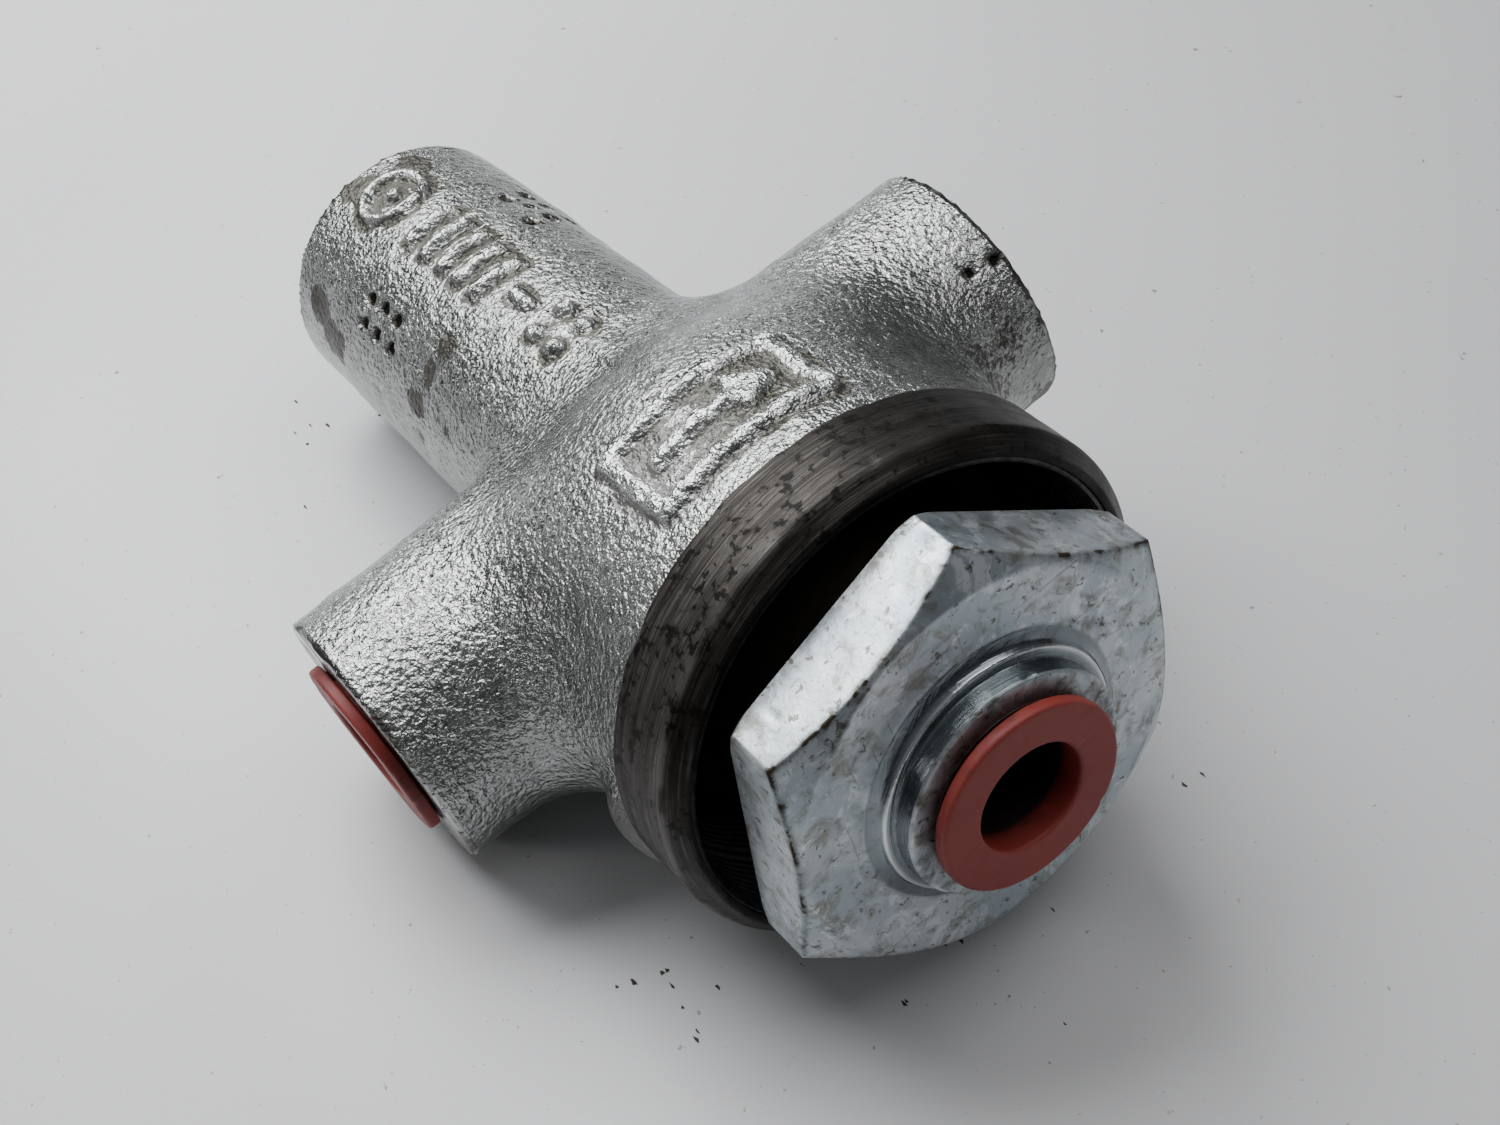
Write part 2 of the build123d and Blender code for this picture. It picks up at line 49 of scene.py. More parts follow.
# ---------------------------------------------------------------- sizes, in millimetres
REAR_X, ARM_X = -111.2, -39.0
LEFT_END, RIGHT_END, ARM_ROOT_R = 47.5, 45.2, 17.9
SPIGOT_R, SPIGOT_HALF = 32.4, 4.4
MOUTH_X, MOUTH_LIP_R, MOUTH_BORE_R, MOUTH_FLOOR_X = 6.6, 30.5, 28.9, -13.0
PORT_R, PORT_MAJOR_R, PORT_PITCH, PORT_DEPTH = 9.32, 10.4, 1.814, 16.0
HEX_BACK_X, HEX_FACE_X, COLLAR_FRONT_X = 9.7, 19.4, 23.6
HEX_FLAT_R, HEX_TURN = 25.0, math.radians(78.0)
HEX_FACE_R, HEX_CORNER_R = 24.3, 29.1
COLLAR_R, COLLAR_STEP_R = 13.94, 15.15
FRONT_CAP_X, LEFT_CAP_Y = 26.2, -49.4


# ---------------------------------------------------------------- noise
def lattice(i, j, k, seed):
    """A fixed value in -1..1 for each whole-numbered point, as if drawn at random."""
    h = (i * 374761393 + j * 668265263 + k * 2147483647 + seed * 974634777) & 0xFFFFFFFF
    h = ((h ^ (h >> 13)) * 1274126177) & 0xFFFFFFFF
    return ((h ^ (h >> 16)) & 0xFFFF) / 32767.5 - 1.0


def noise(p, size, seed=0):
    """Smooth value noise in -1..1 at points p (n, 3), with features about size across."""
    q = p / size + 1000.0
    c = np.floor(q).astype(np.int64)
    f = q - c
    f = f * f * f * (f * (f * 6 - 15) + 10)
    out = np.zeros(len(p))
    for dx in (0, 1):
        for dy in (0, 1):
            for dz in (0, 1):
                w = (
                    (f[:, 0] if dx else 1 - f[:, 0])
                    * (f[:, 1] if dy else 1 - f[:, 1])
                    * (f[:, 2] if dz else 1 - f[:, 2])
                )
                out += w * lattice(c[:, 0] + dx, c[:, 1] + dy, c[:, 2] + dz, seed)
    return out


def fbm(p, size, octaves, seed=0):
    """Noise of several sizes added up, each half as wide and half as strong as the one before."""
    total, weight = np.zeros(len(p)), 1.0
    for octave in range(octaves):
        total += weight * noise(p, size / 2**octave, seed + 17 * octave)
        weight *= 0.5
    return total


def smoothstep(a, b, x):
    """0 at a, 1 at b, and a smooth rise between. It falls with x where a is the larger."""
    t = np.clip((x - a) / (b - a), 0, 1)
    return t * t * (3 - 2 * t)


# ---------------------------------------------------------------- mesh helpers
def add_object(name, data):
    obj = bpy.data.objects.new(name, data)
    bpy.context.scene.collection.objects.link(obj)
    return obj


def make_mesh(name, verts_mm, faces, material):
    mesh = bpy.data.meshes.new(name)
    mesh.from_pydata((np.asarray(verts_mm) * MM).tolist(), [], faces)
    mesh.validate()
    mesh.shade_smooth()
    mesh.materials.append(material)
    return mesh


def make_piece(name, verts_mm, faces, material, body="valve", slot=None, replaces=()):
    """A visible piece that rides on a body and stands in for the named CAD nodes."""
    obj = add_object(name, make_mesh(name, verts_mm, faces, material))
    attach(obj, body)
    if replaces:
        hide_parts(*replaces)
    return obj


def rounded(points, radius=0.3, closed=True, steps=3):
    """The outline (x, r) with its corners rounded off by short curves."""
    pts = [np.array(p[:2], float) for p in points]
    n, out = len(pts), []
    for i, p in enumerate(pts):
        if not closed and i in (0, n - 1):
            out.append(tuple(p))
            continue
        a, b = pts[i - 1] - p, pts[(i + 1) % n] - p
        la, lb = np.linalg.norm(a), np.linalg.norm(b)
        r = points[i][2] if len(points[i]) > 2 else radius
        cut = min(r, 0.42 * la, 0.42 * lb)
        if cut < 0.02:
            out.append(tuple(p))
            continue
        start, end = p + a / la * cut, p + b / lb * cut
        for s in range(steps + 1):
            t = s / steps
            q = (1 - t) ** 2 * start + 2 * t * (1 - t) * p + t * t * end
            out.append(tuple(q))
    return out


def divided(points, longest, closed=True):
    """The outline with long runs cut into steps no longer than longest."""
    out, n = [], len(points)
    for i in range(n if closed else n - 1):
        a, b = np.array(points[i]), np.array(points[(i + 1) % n])
        parts = max(1, int(math.ceil(np.linalg.norm(b - a) / longest)))
        for s in range(parts):
            out.append(tuple(a + (b - a) * s / parts))
    if not closed:
        out.append(tuple(points[-1]))
    return out


def lathe_grid(outline, angles, radius_fn=None):
    """The outline (x, r) turned to each angle. radius_fn changes x and r from angle to angle."""
    x = np.array([p[0] for p in outline])[:, None] + 0 * angles[None, :]
    r = np.array([p[1] for p in outline])[:, None] + 0 * angles[None, :]
    th = angles[None, :] + 0 * x
    if radius_fn:
        x, r = radius_fn(x, r, th)
    return on_circle(x, r, th)


def on_circle(x, r, th):
    return np.stack([x, r * np.cos(th), r * np.sin(th)], -1)


def grid_faces(rows, cols, closed_rows):
    """Quads of a grid whose columns close on themselves, and whose rows do so if asked."""
    i = np.arange(rows if closed_rows else rows - 1)[:, None]
    j = np.arange(cols)[None, :]
    i2, j2 = (i + 1) % rows, (j + 1) % cols
    quads = np.stack([i * cols + j, i2 * cols + j, i2 * cols + j2, i * cols + j2], -1)
    return quads.reshape(-1, 4).tolist()


def lathe(
    name, outline, material, segments=192, closed=True, radius_fn=None, place=None, angles=None, **piece
):
    """A turned piece about the X axis. An open outline starts and ends on the axis."""
    if angles is None:
        angles = np.arange(segments) * TAU / segments
    cols = len(angles)
    if closed:
        grid = lathe_grid(outline, angles, radius_fn)
        verts = grid.reshape(-1, 3)
        faces = grid_faces(len(outline), cols, True)
    else:
        grid = lathe_grid(outline[1:-1], angles, radius_fn)
        rows = len(outline) - 2
        verts = np.concatenate([grid.reshape(-1, 3), [[outline[0][0], 0, 0], [outline[-1][0], 0, 0]]])
        faces = grid_faces(rows, cols, False)
        first_pole, last_pole = rows * cols, rows * cols + 1
        last_row = (rows - 1) * cols
        for j in range(cols):
            faces.append([first_pole, j, (j + 1) % cols])
            faces.append([last_pole, last_row + (j + 1) % cols, last_row + j])
    if place is not None:
        verts = verts @ np.array(place.to_3x3().transposed()) + np.array(place.translation)
    obj = make_piece(name, verts, faces, material, **piece)
    turn_outward(obj)
    return obj


def turn_outward(obj):
    """Turns the faces outwards if the enclosed volume comes out negative."""
    mesh = obj.data
    mesh.calc_loop_triangles()
    co = np.array([v.co for v in mesh.vertices])
    tri = np.array([t.vertices for t in mesh.loop_triangles])
    a, b, c = co[tri[:, 0]], co[tri[:, 1]], co[tri[:, 2]]
    if np.einsum("ij,ij->i", a, np.cross(b, c)).sum() < 0:
        mesh.flip_normals()


def weighted(obj):
    """Shades the flat faces flat and the small roundings between them smooth."""
    mod = obj.modifiers.new("weighted", "WEIGHTED_NORMAL")
    mod.keep_sharp = False
    mod.weight = 60


def set_attribute(obj, name, values):
    layer = obj.data.attributes.new(name, "FLOAT", "POINT")
    layer.data.foreach_set("value", np.clip(values, 0, 1).astype(np.float32))


def points_of(obj):
    co = np.empty(len(obj.data.vertices) * 3)
    obj.data.vertices.foreach_get("co", co)
    return co.reshape(-1, 3) / MM


def move_points(obj, p):
    obj.data.vertices.foreach_set("co", (p * MM).ravel())
    obj.data.update()


# ---------------------------------------------------------------- material helpers
class Nodes:
    """A short way to write a node tree."""

    def __init__(self, name):
        self.mat = bpy.data.materials.new(name)
        self.mat.use_nodes = True
        self.tree = self.mat.node_tree
        self.bsdf = self.tree.nodes["Principled BSDF"]
        self.coord = self.add("ShaderNodeTexCoord").outputs["Object"]

    def add(self, kind, **props):
        node = self.tree.nodes.new(kind)
        for key, value in props.items():
            setattr(node, key, value)
        return node

    def link(self, a, b):
        self.tree.links.new(a, b)

    def put(self, socket, value):
        if hasattr(value, "is_output"):
            self.link(value, socket)
        else:
            socket.default_value = value

    def stretched(self, scale):
        node = self.add("ShaderNodeMapping")
        node.inputs["Scale"].default_value = scale
        self.link(self.coord, node.inputs["Vector"])
        return node.outputs["Vector"]

    def noise(self, per_mm, detail=3.0, rough=0.5, distortion=0.0, vector=None, offset=0.0):
        node = self.add("ShaderNodeTexNoise", noise_dimensions="4D")
        self.link(vector or self.coord, node.inputs["Vector"])
        node.inputs["Scale"].default_value = per_mm * 1000
        node.inputs["Detail"].default_value = detail
        node.inputs["Roughness"].default_value = rough
        node.inputs["Distortion"].default_value = distortion
        node.inputs["W"].default_value = offset
        return node.outputs["Fac"]

    def ramp(self, fac, *stops):
        node = self.add("ShaderNodeValToRGB")
        self.link(fac, node.inputs["Fac"])
        el = node.color_ramp.elements
        while len(el) > 2:
            el.remove(el[-1])
        while len(el) < len(stops):
            el.new(0.5)
        for e, (pos, col) in zip(el, stops):
            e.position = pos
            e.color = (col, col, col, 1) if isinstance(col, (int, float)) else (*col, 1)
        return node.outputs["Color"]

    def math(self, op, a, b=0.0, clamp=False):
        node = self.add("ShaderNodeMath", operation=op, use_clamp=clamp)
        self.put(node.inputs[0], a)
        self.put(node.inputs[1], b)
        return node.outputs[0]

    def mix(self, fac, a, b, blend="MIX"):
        node = self.add("ShaderNodeMix", data_type="RGBA", blend_type=blend)
        self.put(node.inputs["Factor"], fac)
        for socket, value in ((node.inputs[6], a), (node.inputs[7], b)):
            self.put(socket, value if hasattr(value, "is_output") else (*value, 1))
        return node.outputs[2]

    def bump(self, height, depth_mm, strength=1.0, below=None):
        node = self.add("ShaderNodeBump")
        node.inputs["Strength"].default_value = strength
        node.inputs["Distance"].default_value = depth_mm * MM
        self.link(height, node.inputs["Height"])
        if below is not None:
            self.link(below, node.inputs["Normal"])
        return node.outputs["Normal"]

    def attribute(self, name):
        return self.add("ShaderNodeAttribute", attribute_name=name).outputs["Fac"]

    def xyz(self):
        node = self.add("ShaderNodeSeparateXYZ")
        self.link(self.coord, node.inputs[0])
        return list(node.outputs)

    def finish(self, color, rough, metallic, normal, **sockets):
        self.put(self.bsdf.inputs["Base Color"], color)
        self.put(self.bsdf.inputs["Roughness"], rough)
        self.put(self.bsdf.inputs["Metallic"], metallic)
        self.put(self.bsdf.inputs["Normal"], normal)
        for key, value in sockets.items():
            self.bsdf.inputs[key.replace("_", " ")].default_value = value
        return self.mat


def casting_material():
    n = Nodes("zinc_casting")
    broad = n.noise(0.05, 3, 0.55)
    mottle = n.noise(0.40, 4, 0.6, offset=3.0)
    grain = n.noise(1.25, 2.5, 0.55, 0.2, offset=1.0)
    fine = n.noise(3.4, 2, 0.5, offset=5.0)
    dirt_and_shade = n.attribute("dirt_and_shade")
    wear_and_light = n.attribute("wear_and_light")
    base = n.mix(n.ramp(broad, (0.3, 0.0), (0.7, 1.0)), (0.34, 0.35, 0.342), (0.45, 0.46, 0.45))
    darker = n.mix(1.0, base, (0.68, 0.69, 0.67), "MULTIPLY")
    base = n.mix(n.ramp(mottle, (0.38, 0.0), (0.62, 1.0)), darker, base)
    hollow = n.ramp(grain, (0.31, 0.75), (0.42, 0.0))
    base = n.mix(hollow, base, (0.085, 0.085, 0.078))
    speck = n.ramp(n.noise(0.9, 3, 0.6, offset=7.0), (0.675, 0.0), (0.71, 1.0))
    base = n.mix(n.math("MULTIPLY", speck, 0.8), base, (0.05, 0.047, 0.04))
    patchy = n.noise(1.0, 6, 0.75, offset=9.0)
    # Dark from the attribute: stains and grime, and painted shade on the undersides, along the foot of the
    # marks and on the right side.
    jagged = n.ramp(n.math("ADD", n.math("MULTIPLY", dirt_and_shade, 0.9), patchy), (0.96, 0.0), (1.14, 0.88))
    # Values near 1 go near black: painted shade in the bores and on the gate lump, and the dark dents.
    deep = n.ramp(dirt_and_shade, (0.82, 0.0), (0.96, 1.0))
    dirt_and_shade_mask = n.math("MAXIMUM", n.math("MAXIMUM", n.math("MULTIPLY", dirt_and_shade, 0.35), jagged), deep)
    base = n.mix(dirt_and_shade_mask, base, (0.052, 0.047, 0.037))
    base = n.mix(deep, base, (0.008, 0.008, 0.007))
    # Lighter where the attribute marks wear, and painted light on the barrel.
    base = n.mix(n.math("MULTIPLY", wear_and_light, 0.55), base, (0.78, 0.79, 0.78))
    rough = n.math("ADD", n.math("MULTIPLY", mottle, 0.18), 0.09)
    rough = n.math("ADD", rough, n.math("MULTIPLY", dirt_and_shade_mask, 0.28), clamp=True)
    turned = n.math("SUBTRACT", 1.0, n.math("MULTIPLY", n.attribute("cut"), 0.88))
    coarse = n.bump(n.math("MULTIPLY", grain, turned), 0.60, 1.0)
    return n.finish(base, rough, 0.95, n.bump(fine, 0.05, 0.8, coarse))


def ring_material():
    n = Nodes("machined_spigot")
    bands = n.noise(1.0, 4, 0.65, vector=n.stretched((1.1, 0.02, 0.02)))
    fine_bands = n.noise(1.0, 3, 0.7, vector=n.stretched((6.0, 0.10, 0.10)), offset=2.0)
    blot = n.noise(0.16, 5, 0.62, 0.2, offset=4.0)
    spots = n.noise(0.80, 3, 0.6, 0.2, offset=8.0)
    base = n.mix(n.ramp(bands, (0.38, 0.0), (0.62, 1.0)), (0.024, 0.021, 0.018), (0.072, 0.065, 0.060))
    base = n.mix(n.ramp(fine_bands, (0.53, 0.0), (0.62, 0.7)), base, (0.140, 0.130, 0.122))
    base = n.mix(n.ramp(fine_bands, (0.36, 0.8), (0.46, 0.0)), base, (0.018, 0.015, 0.013))
    base = n.mix(n.ramp(blot, (0.50, 0.0), (0.66, 0.7)), base, (0.030, 0.024, 0.020))
    near = n.ramp(blot, (0.35, 0.0), (0.60, 0.10))
    crumbs = n.ramp(n.math("ADD", spots, near), (0.61, 0.0), (0.67, 0.95))
    base = n.mix(crumbs, base, (0.006, 0.005, 0.004))
    # Near black where the attribute is high: painted shade on the right, the bottom and inside the mouth, and
    # the darker lip.
    base = n.mix(n.attribute("dirt_and_shade"), base, (0.006, 0.005, 0.004))
    # Lighter where the attribute marks worn edges and painted highlight.
    base = n.mix(n.attribute("wear_and_light"), base, (0.24, 0.23, 0.22))
    rough = n.math("ADD", n.math("MULTIPLY", blot, 0.40), 0.24, clamp=True)
    lines = n.bump(fine_bands, 0.12, 0.9)
    return n.finish(base, rough, 0.75, n.bump(blot, 0.10, 0.5, lines), Specular_IOR_Level=0.3)


def zinc_plate_material(name="zinc_plate"):
    n = Nodes(name)
    cloud = n.noise(0.09, 4, 0.6, 0.5)
    stain = n.noise(0.30, 5, 0.65, 0.8, offset=3.0)
    scratch_a = n.noise(1.0, 2, 0.4, vector=n.stretched((3.0, 0.10, 2.0)), offset=5.0)
    scratch_b = n.noise(1.0, 2, 0.4, vector=n.stretched((2.0, 2.6, 0.12)), offset=6.0)
    flecks = n.noise(0.75, 4, 0.7, 0.5, offset=8.0)
    dirt_and_shade = n.attribute("dirt_and_shade")
    base = n.mix(n.ramp(cloud, (0.38, 0.0), (0.62, 1.0)), (0.39, 0.450, 0.490), (0.57, 0.610, 0.630))
    base = n.mix(n.ramp(stain, (0.50, 0.0), (0.62, 0.9)), base, (0.28, 0.285, 0.26))
    pale = n.noise(0.22, 5, 0.7, 1.0, offset=13.0)
    base = n.mix(n.ramp(pale, (0.54, 0.0), (0.62, 0.8)), base, (0.70, 0.74, 0.77))
    scratch_a = n.ramp(scratch_a, (0.65, 0.0), (0.71, 1.0))
    scratch_b = n.ramp(scratch_b, (0.66, 0.0), (0.72, 1.0))
    marks = n.math("MAXIMUM", scratch_a, scratch_b)
    base = n.mix(n.math("MULTIPLY", marks, 0.55), base, (0.25, 0.25, 0.23))
    base = n.mix(n.ramp(flecks, (0.595, 0.0), (0.64, 0.85)), base, (0.13, 0.12, 0.095))
    # Grime, with painted shade on the back of the hexagon; near black where the attribute is 1: painted shade
    # on the neck and in the bore.
    grime_and_shade = n.math("MULTIPLY", dirt_and_shade, n.ramp(n.noise(0.7, 4, 0.7, offset=11.0), (0.30, 0.2), (0.60, 1.0)))
    deep = n.ramp(dirt_and_shade, (0.8, 0.0), (0.95, 1.0))
    base = n.mix(n.math("MAXIMUM", grime_and_shade, deep), base, (0.055, 0.046, 0.034))
    # Darker colour in the polished zone: painted dark reflection.
    base = n.mix(n.math("MULTIPLY", n.attribute("polish_and_dark_reflection"), 0.8), base, (0.15, 0.175, 0.19))
    # Near white where the attribute marks painted highlight and worn edges.
    base = n.mix(n.attribute("highlight_and_wear"), base, (0.80, 0.82, 0.83))
    rough = n.math("ADD", n.math("MULTIPLY", pale, 0.30), 0.25)
    rough = n.math("SUBTRACT", rough, n.math("MULTIPLY", n.attribute("polish_and_dark_reflection"), 0.32))
    rough = n.math("ADD", rough, n.math("MULTIPLY", grime_and_shade, 0.4), clamp=True)
    x, y, z = n.xyz()
    radius = n.math("SQRT", n.math("ADD", n.math("MULTIPLY", y, y), n.math("MULTIPLY", z, z)))
    feed = n.noise(2.4, 3, 0.6, vector=n.math("ADD", radius, n.math("MULTIPLY", x, 1.7)), offset=15.0)
    soft = n.bump(n.noise(0.35, 4, 0.6, offset=2.0), 0.12, 0.8)
    turned = n.bump(n.math("MULTIPLY", feed, n.attribute("polish_and_dark_reflection")), 0.16, 1.0, soft)
    return n.finish(base, rough, 0.95, n.bump(marks, -0.02, 0.6, turned))


def plain_metal(name, dark, light, roughness, metallic=1.0, per_mm=0.8):
    n = Nodes(name)
    tone = n.noise(per_mm, 4, 0.6)
    base = n.mix(n.ramp(tone, (0.35, 0.0), (0.65, 1.0)), dark, light)
    rough = n.math("ADD", n.math("MULTIPLY", tone, 0.2), roughness, clamp=True)
    return n.finish(base, rough, metallic, n.bump(n.noise(3.0, 3, 0.6), 0.02, 0.5))


def red_plastic_material():
    n = Nodes("red_plastic")
    cloud = n.noise(0.12, 3, 0.5)
    scuff = n.noise(1.0, 4, 0.7, 0.4, vector=n.stretched((0.8, 0.35, 0.9)), offset=4.0)
    base = n.mix(n.ramp(cloud, (0.3, 0.0), (0.7, 1.0)), (0.215, 0.024, 0.018), (0.265, 0.031, 0.022))
    base = n.mix(n.math("MULTIPLY", n.ramp(scuff, (0.62, 0.0), (0.74, 1.0)), 0.35), base, (0.42, 0.12, 0.09))
    dirt_and_shade = n.attribute("dirt_and_shade")
    grime_and_shade = n.math("MULTIPLY", dirt_and_shade, n.ramp(n.noise(0.8, 3, 0.6, offset=2.0), (0.4, 0.3), (0.65, 1.0)))
    # Near black where the attribute is high: painted shade in the cap's hole.
    grime_and_shade = n.math("MAXIMUM", grime_and_shade, n.ramp(dirt_and_shade, (0.6, 0.0), (0.95, 1.0)))
    base = n.mix(grime_and_shade, base, (0.010, 0.003, 0.003))
    rough = n.math("ADD", n.math("MULTIPLY", scuff, 0.25), 0.42, clamp=True)
    fine = n.bump(n.noise(2.2, 3, 0.6, offset=6.0), 0.02, 0.6)
    return n.finish(base, rough, 0.0, n.bump(scuff, 0.03, 0.4, fine), IOR=1.5)


def soft_material(name, dark, light, roughness):
    n = Nodes(name)
    tone = n.noise(0.9, 4, 0.6)
    base = n.mix(n.ramp(tone, (0.35, 0.0), (0.65, 1.0)), dark, light)
    return n.finish(base, roughness, 0.0, n.bump(n.noise(3.0, 3, 0.6), 0.02, 0.5))


def floor_material():
    n = Nodes("floor_paint")
    broad = n.noise(0.004, 3, 0.5)
    coarse = n.ramp(n.noise(0.55, 2, 0.5, offset=3.0), (0.735, 0.0), (0.765, 1.0))
    tiny = n.ramp(n.noise(1.3, 1, 0.5, offset=6.0), (0.735, 0.0), (0.76, 1.0))
    speck = n.math("MAXIMUM", coarse, n.math("MULTIPLY", tiny, 0.8))
    base = n.mix(n.ramp(broad, (0.3, 0.0), (0.7, 1.0)), (0.600, 0.600, 0.612), (0.640, 0.640, 0.650))
    base = n.mix(n.math("MULTIPLY", speck, 0.8), base, (0.16, 0.15, 0.14))
    x, y = n.xyz()[:2]
    across = n.math("ADD", n.math("MULTIPLY", x, 0.594), n.math("MULTIPLY", y, 0.804))
    shade = n.ramp(n.math("ADD", n.math("MULTIPLY", across, 4.0), 0.5), (0.1, 1.0), (0.95, 0.62))
    base = n.mix(1.0, base, shade, "MULTIPLY")
    return n.finish(base, 0.5, 0.0, n.bump(n.noise(0.5, 3, 0.5, offset=2.0), 0.02, 0.3))


CASTING = casting_material()
SPIGOT = ring_material()
PLATE = zinc_plate_material()
STEEL = plain_metal("turned_steel", (0.40, 0.40, 0.41), (0.56, 0.56, 0.57), 0.22)
SPRING = plain_metal("spring_wire", (0.16, 0.16, 0.17), (0.28, 0.28, 0.30), 0.25)
BRONZE = plain_metal("bronze_mesh", (0.40, 0.26, 0.10), (0.62, 0.44, 0.20), 0.30)
SOFT_WASHER = plain_metal("soft_washer", (0.55, 0.55, 0.56), (0.72, 0.72, 0.73), 0.35)
# The threads inside the bores are coloured near black: painted shade.
SHADED_THREAD = plain_metal("shaded_cut_thread", (0.045, 0.042, 0.040), (0.115, 0.110, 0.105), 0.38, 0.85)
RED = red_plastic_material()
RUBBER = soft_material("nitrile", (0.012, 0.012, 0.012), (0.030, 0.030, 0.030), 0.6)
PTFE = soft_material("ptfe", (0.74, 0.73, 0.69), (0.84, 0.83, 0.80), 0.45)

SLOT_LOOK = {
    "zinc_casting": CASTING,
    "zinc_plate": PLATE,
    "steel": STEEL,
    "spring_steel": SPRING,
    "bronze": BRONZE,
    "rubber": RUBBER,
    "ptfe": PTFE,
    "aluminium_seal": SOFT_WASHER,
    "red_plastic": RED,
}
for part in frame["record"]["subparts"]:
    mesh = NODES[part["node"]].data
    mesh.materials.clear()
    mesh.materials.append(SLOT_LOOK[part["material_slot"]])


# ---------------------------------------------------------------- the casting, as a distance field
REAR_R, WAIST_X, WAIST_R, HOLLOW_R, SHOULDER_R, BARREL_R = 18.5, -48.0, 19.5, 12.0, 30.0, 31.0
CASTING_FRONT_X = -3.9
GATE_CENTRE, GATE_R = (-8.6, -24.6456, -5.2416), 9.0


def casting_profile():
    """The turned outline of the casting without its arms, as (x, radius) points.

    A slightly tapered boss runs through a hollow and a rounded shoulder into the barrel.
    """
    pos = np.array([WAIST_X, WAIST_R])
    heading = math.atan2(1.0, 62.6)
    pts = [(REAR_X, REAR_R), tuple(pos)]
    for radius, turn in ((HOLLOW_R, math.radians(41)), (SHOULDER_R, math.radians(-39))):
        side = np.sign(turn)
        centre = pos + np.array([-math.sin(heading), math.cos(heading)]) * side * radius
        for s in range(1, 25):
            h = heading + turn * s / 24
            pts.append(tuple(centre - np.array([-math.sin(h), math.cos(h)]) * side * radius))
        pos, heading = np.array(pts[-1]), heading + turn
    pts += [(-SPIGOT_HALF, BARREL_R), (9.0, BARREL_R)]
    return np.array(pts)


PROFILE = casting_profile()


def distance(p, centre, scale=(1.0, 1.0, 1.0)):
    return np.linalg.norm((p - np.array(centre)) * np.array(scale), axis=1)


def smooth_min(a, b, k):
    """The smaller of two distances, rounded over a width of about k where they meet."""
    h = np.clip(0.5 + 0.5 * (b - a) / k, 0, 1)
    return b * (1 - h) + a * h - k * h * (1 - h)


def outer_field(p):
    """Signed distance, negative inside, of the casting without its bores."""
    x, y, z = p[:, 0], p[:, 1], p[:, 2]
    rho = np.hypot(y, z)
    turned_r = np.interp(x, PROFILE[:, 0], PROFILE[:, 1])
    ahead = np.interp(x + 0.3, PROFILE[:, 0], PROFILE[:, 1])
    slope = np.clip((ahead - turned_r) / 0.3, -1.2, 1.2)
    turned = (rho - turned_r) / np.sqrt(1 + slope * slope)
    side = np.hypot(x - ARM_X, z)
    arm_r = np.where(y < 0, ARM_ROOT_R + y * (0.6 / LEFT_END), ARM_ROOT_R - y * (1.2 / RIGHT_END))
    arm = side - arm_r
    front = smoothstep(ARM_X - 14, ARM_X + 14, x)
    blend = 5.5 + 8.0 * front + 2.5 * smoothstep(-6, 12, z) * (y > 0)
    d = smooth_min(turned, arm, blend)
    gate = distance(p, GATE_CENTRE) - GATE_R
    return smooth_min(d, np.maximum(gate, x + SPIGOT_HALF + 0.1), 1.2)


def end_planes(p):
    """Signed distance, negative inside, to the four flat ends of the casting."""
    x, y = p[:, 0], p[:, 1]
    return np.maximum.reduce([REAR_X - x, -LEFT_END - y, y - RIGHT_END, x - CASTING_FRONT_X])


# Bores along the main axis as (from x, to x, radius), and along the arms as (from y, to y, radius)
BORES = (
    (MOUTH_FLOOR_X, 10.0, MOUTH_BORE_R + 0.75),
    (-7.0, 10.0, MOUTH_BORE_R + 1.4),
    (-27.0, MOUTH_FLOOR_X + 1.0, 19.0),
    (-32.0, -26.0, 14.5),
    (-47.0, -31.9, 16.0),
    (-97.0, -46.0, 12.0),
    (REAR_X + 2.0, -96.0, PORT_MAJOR_R + 0.15),
    (REAR_X - 5.0, REAR_X + 2.0, 13.9),
)
ARM_BORES = (
    (-LEFT_END - 5.0, -LEFT_END + PORT_DEPTH, PORT_MAJOR_R + 0.15),
    (-LEFT_END + 15.0, RIGHT_END - 15.0, 7.0),
    (RIGHT_END - PORT_DEPTH, RIGHT_END + 5.0, PORT_MAJOR_R + 0.15),
)


def bore_field(p):
    """Signed distance, negative inside, of everything bored out of the casting."""
    x, y, z = p[:, 0], p[:, 1], p[:, 2]
    rho, side = np.hypot(y, z), np.hypot(x - ARM_X, z)
    d = np.full(len(p), 1e3)
    for x0, x1, r in BORES:
        d = np.minimum(d, np.maximum.reduce([rho - r, x0 - x, x - x1]))
    for y0, y1, r in ARM_BORES:
        d = np.minimum(d, np.maximum.reduce([side - r, y0 - y, y - y1]))
    return d


def field(p):
    """Signed distance, negative inside, of the casting with its bores."""
    return np.maximum(np.maximum(outer_field(p), end_planes(p)), -bore_field(p))


def gradient(f, p, step=0.05):
    """The unit direction in which the field f grows fastest, and how fast it grows."""
    g = np.empty_like(p)
    for axis in range(3):
        shift = np.zeros(3)
        shift[axis] = step
        g[:, axis] = (f(p + shift) - f(p - shift)) / (2 * step)
    length = np.linalg.norm(g, axis=1, keepdims=True)
    return g / np.maximum(length, 1e-6), length[:, 0]


# ---------------------------------------------------------------- marks on the casting
LOGO_X, LOGO_Y = -17.0, -0.3
DOT_RING_X, BARS_X, BAR_PITCH, DASH_X, DOTS_X = -101.5, -90.8, 4.4, -66.0, -57.0


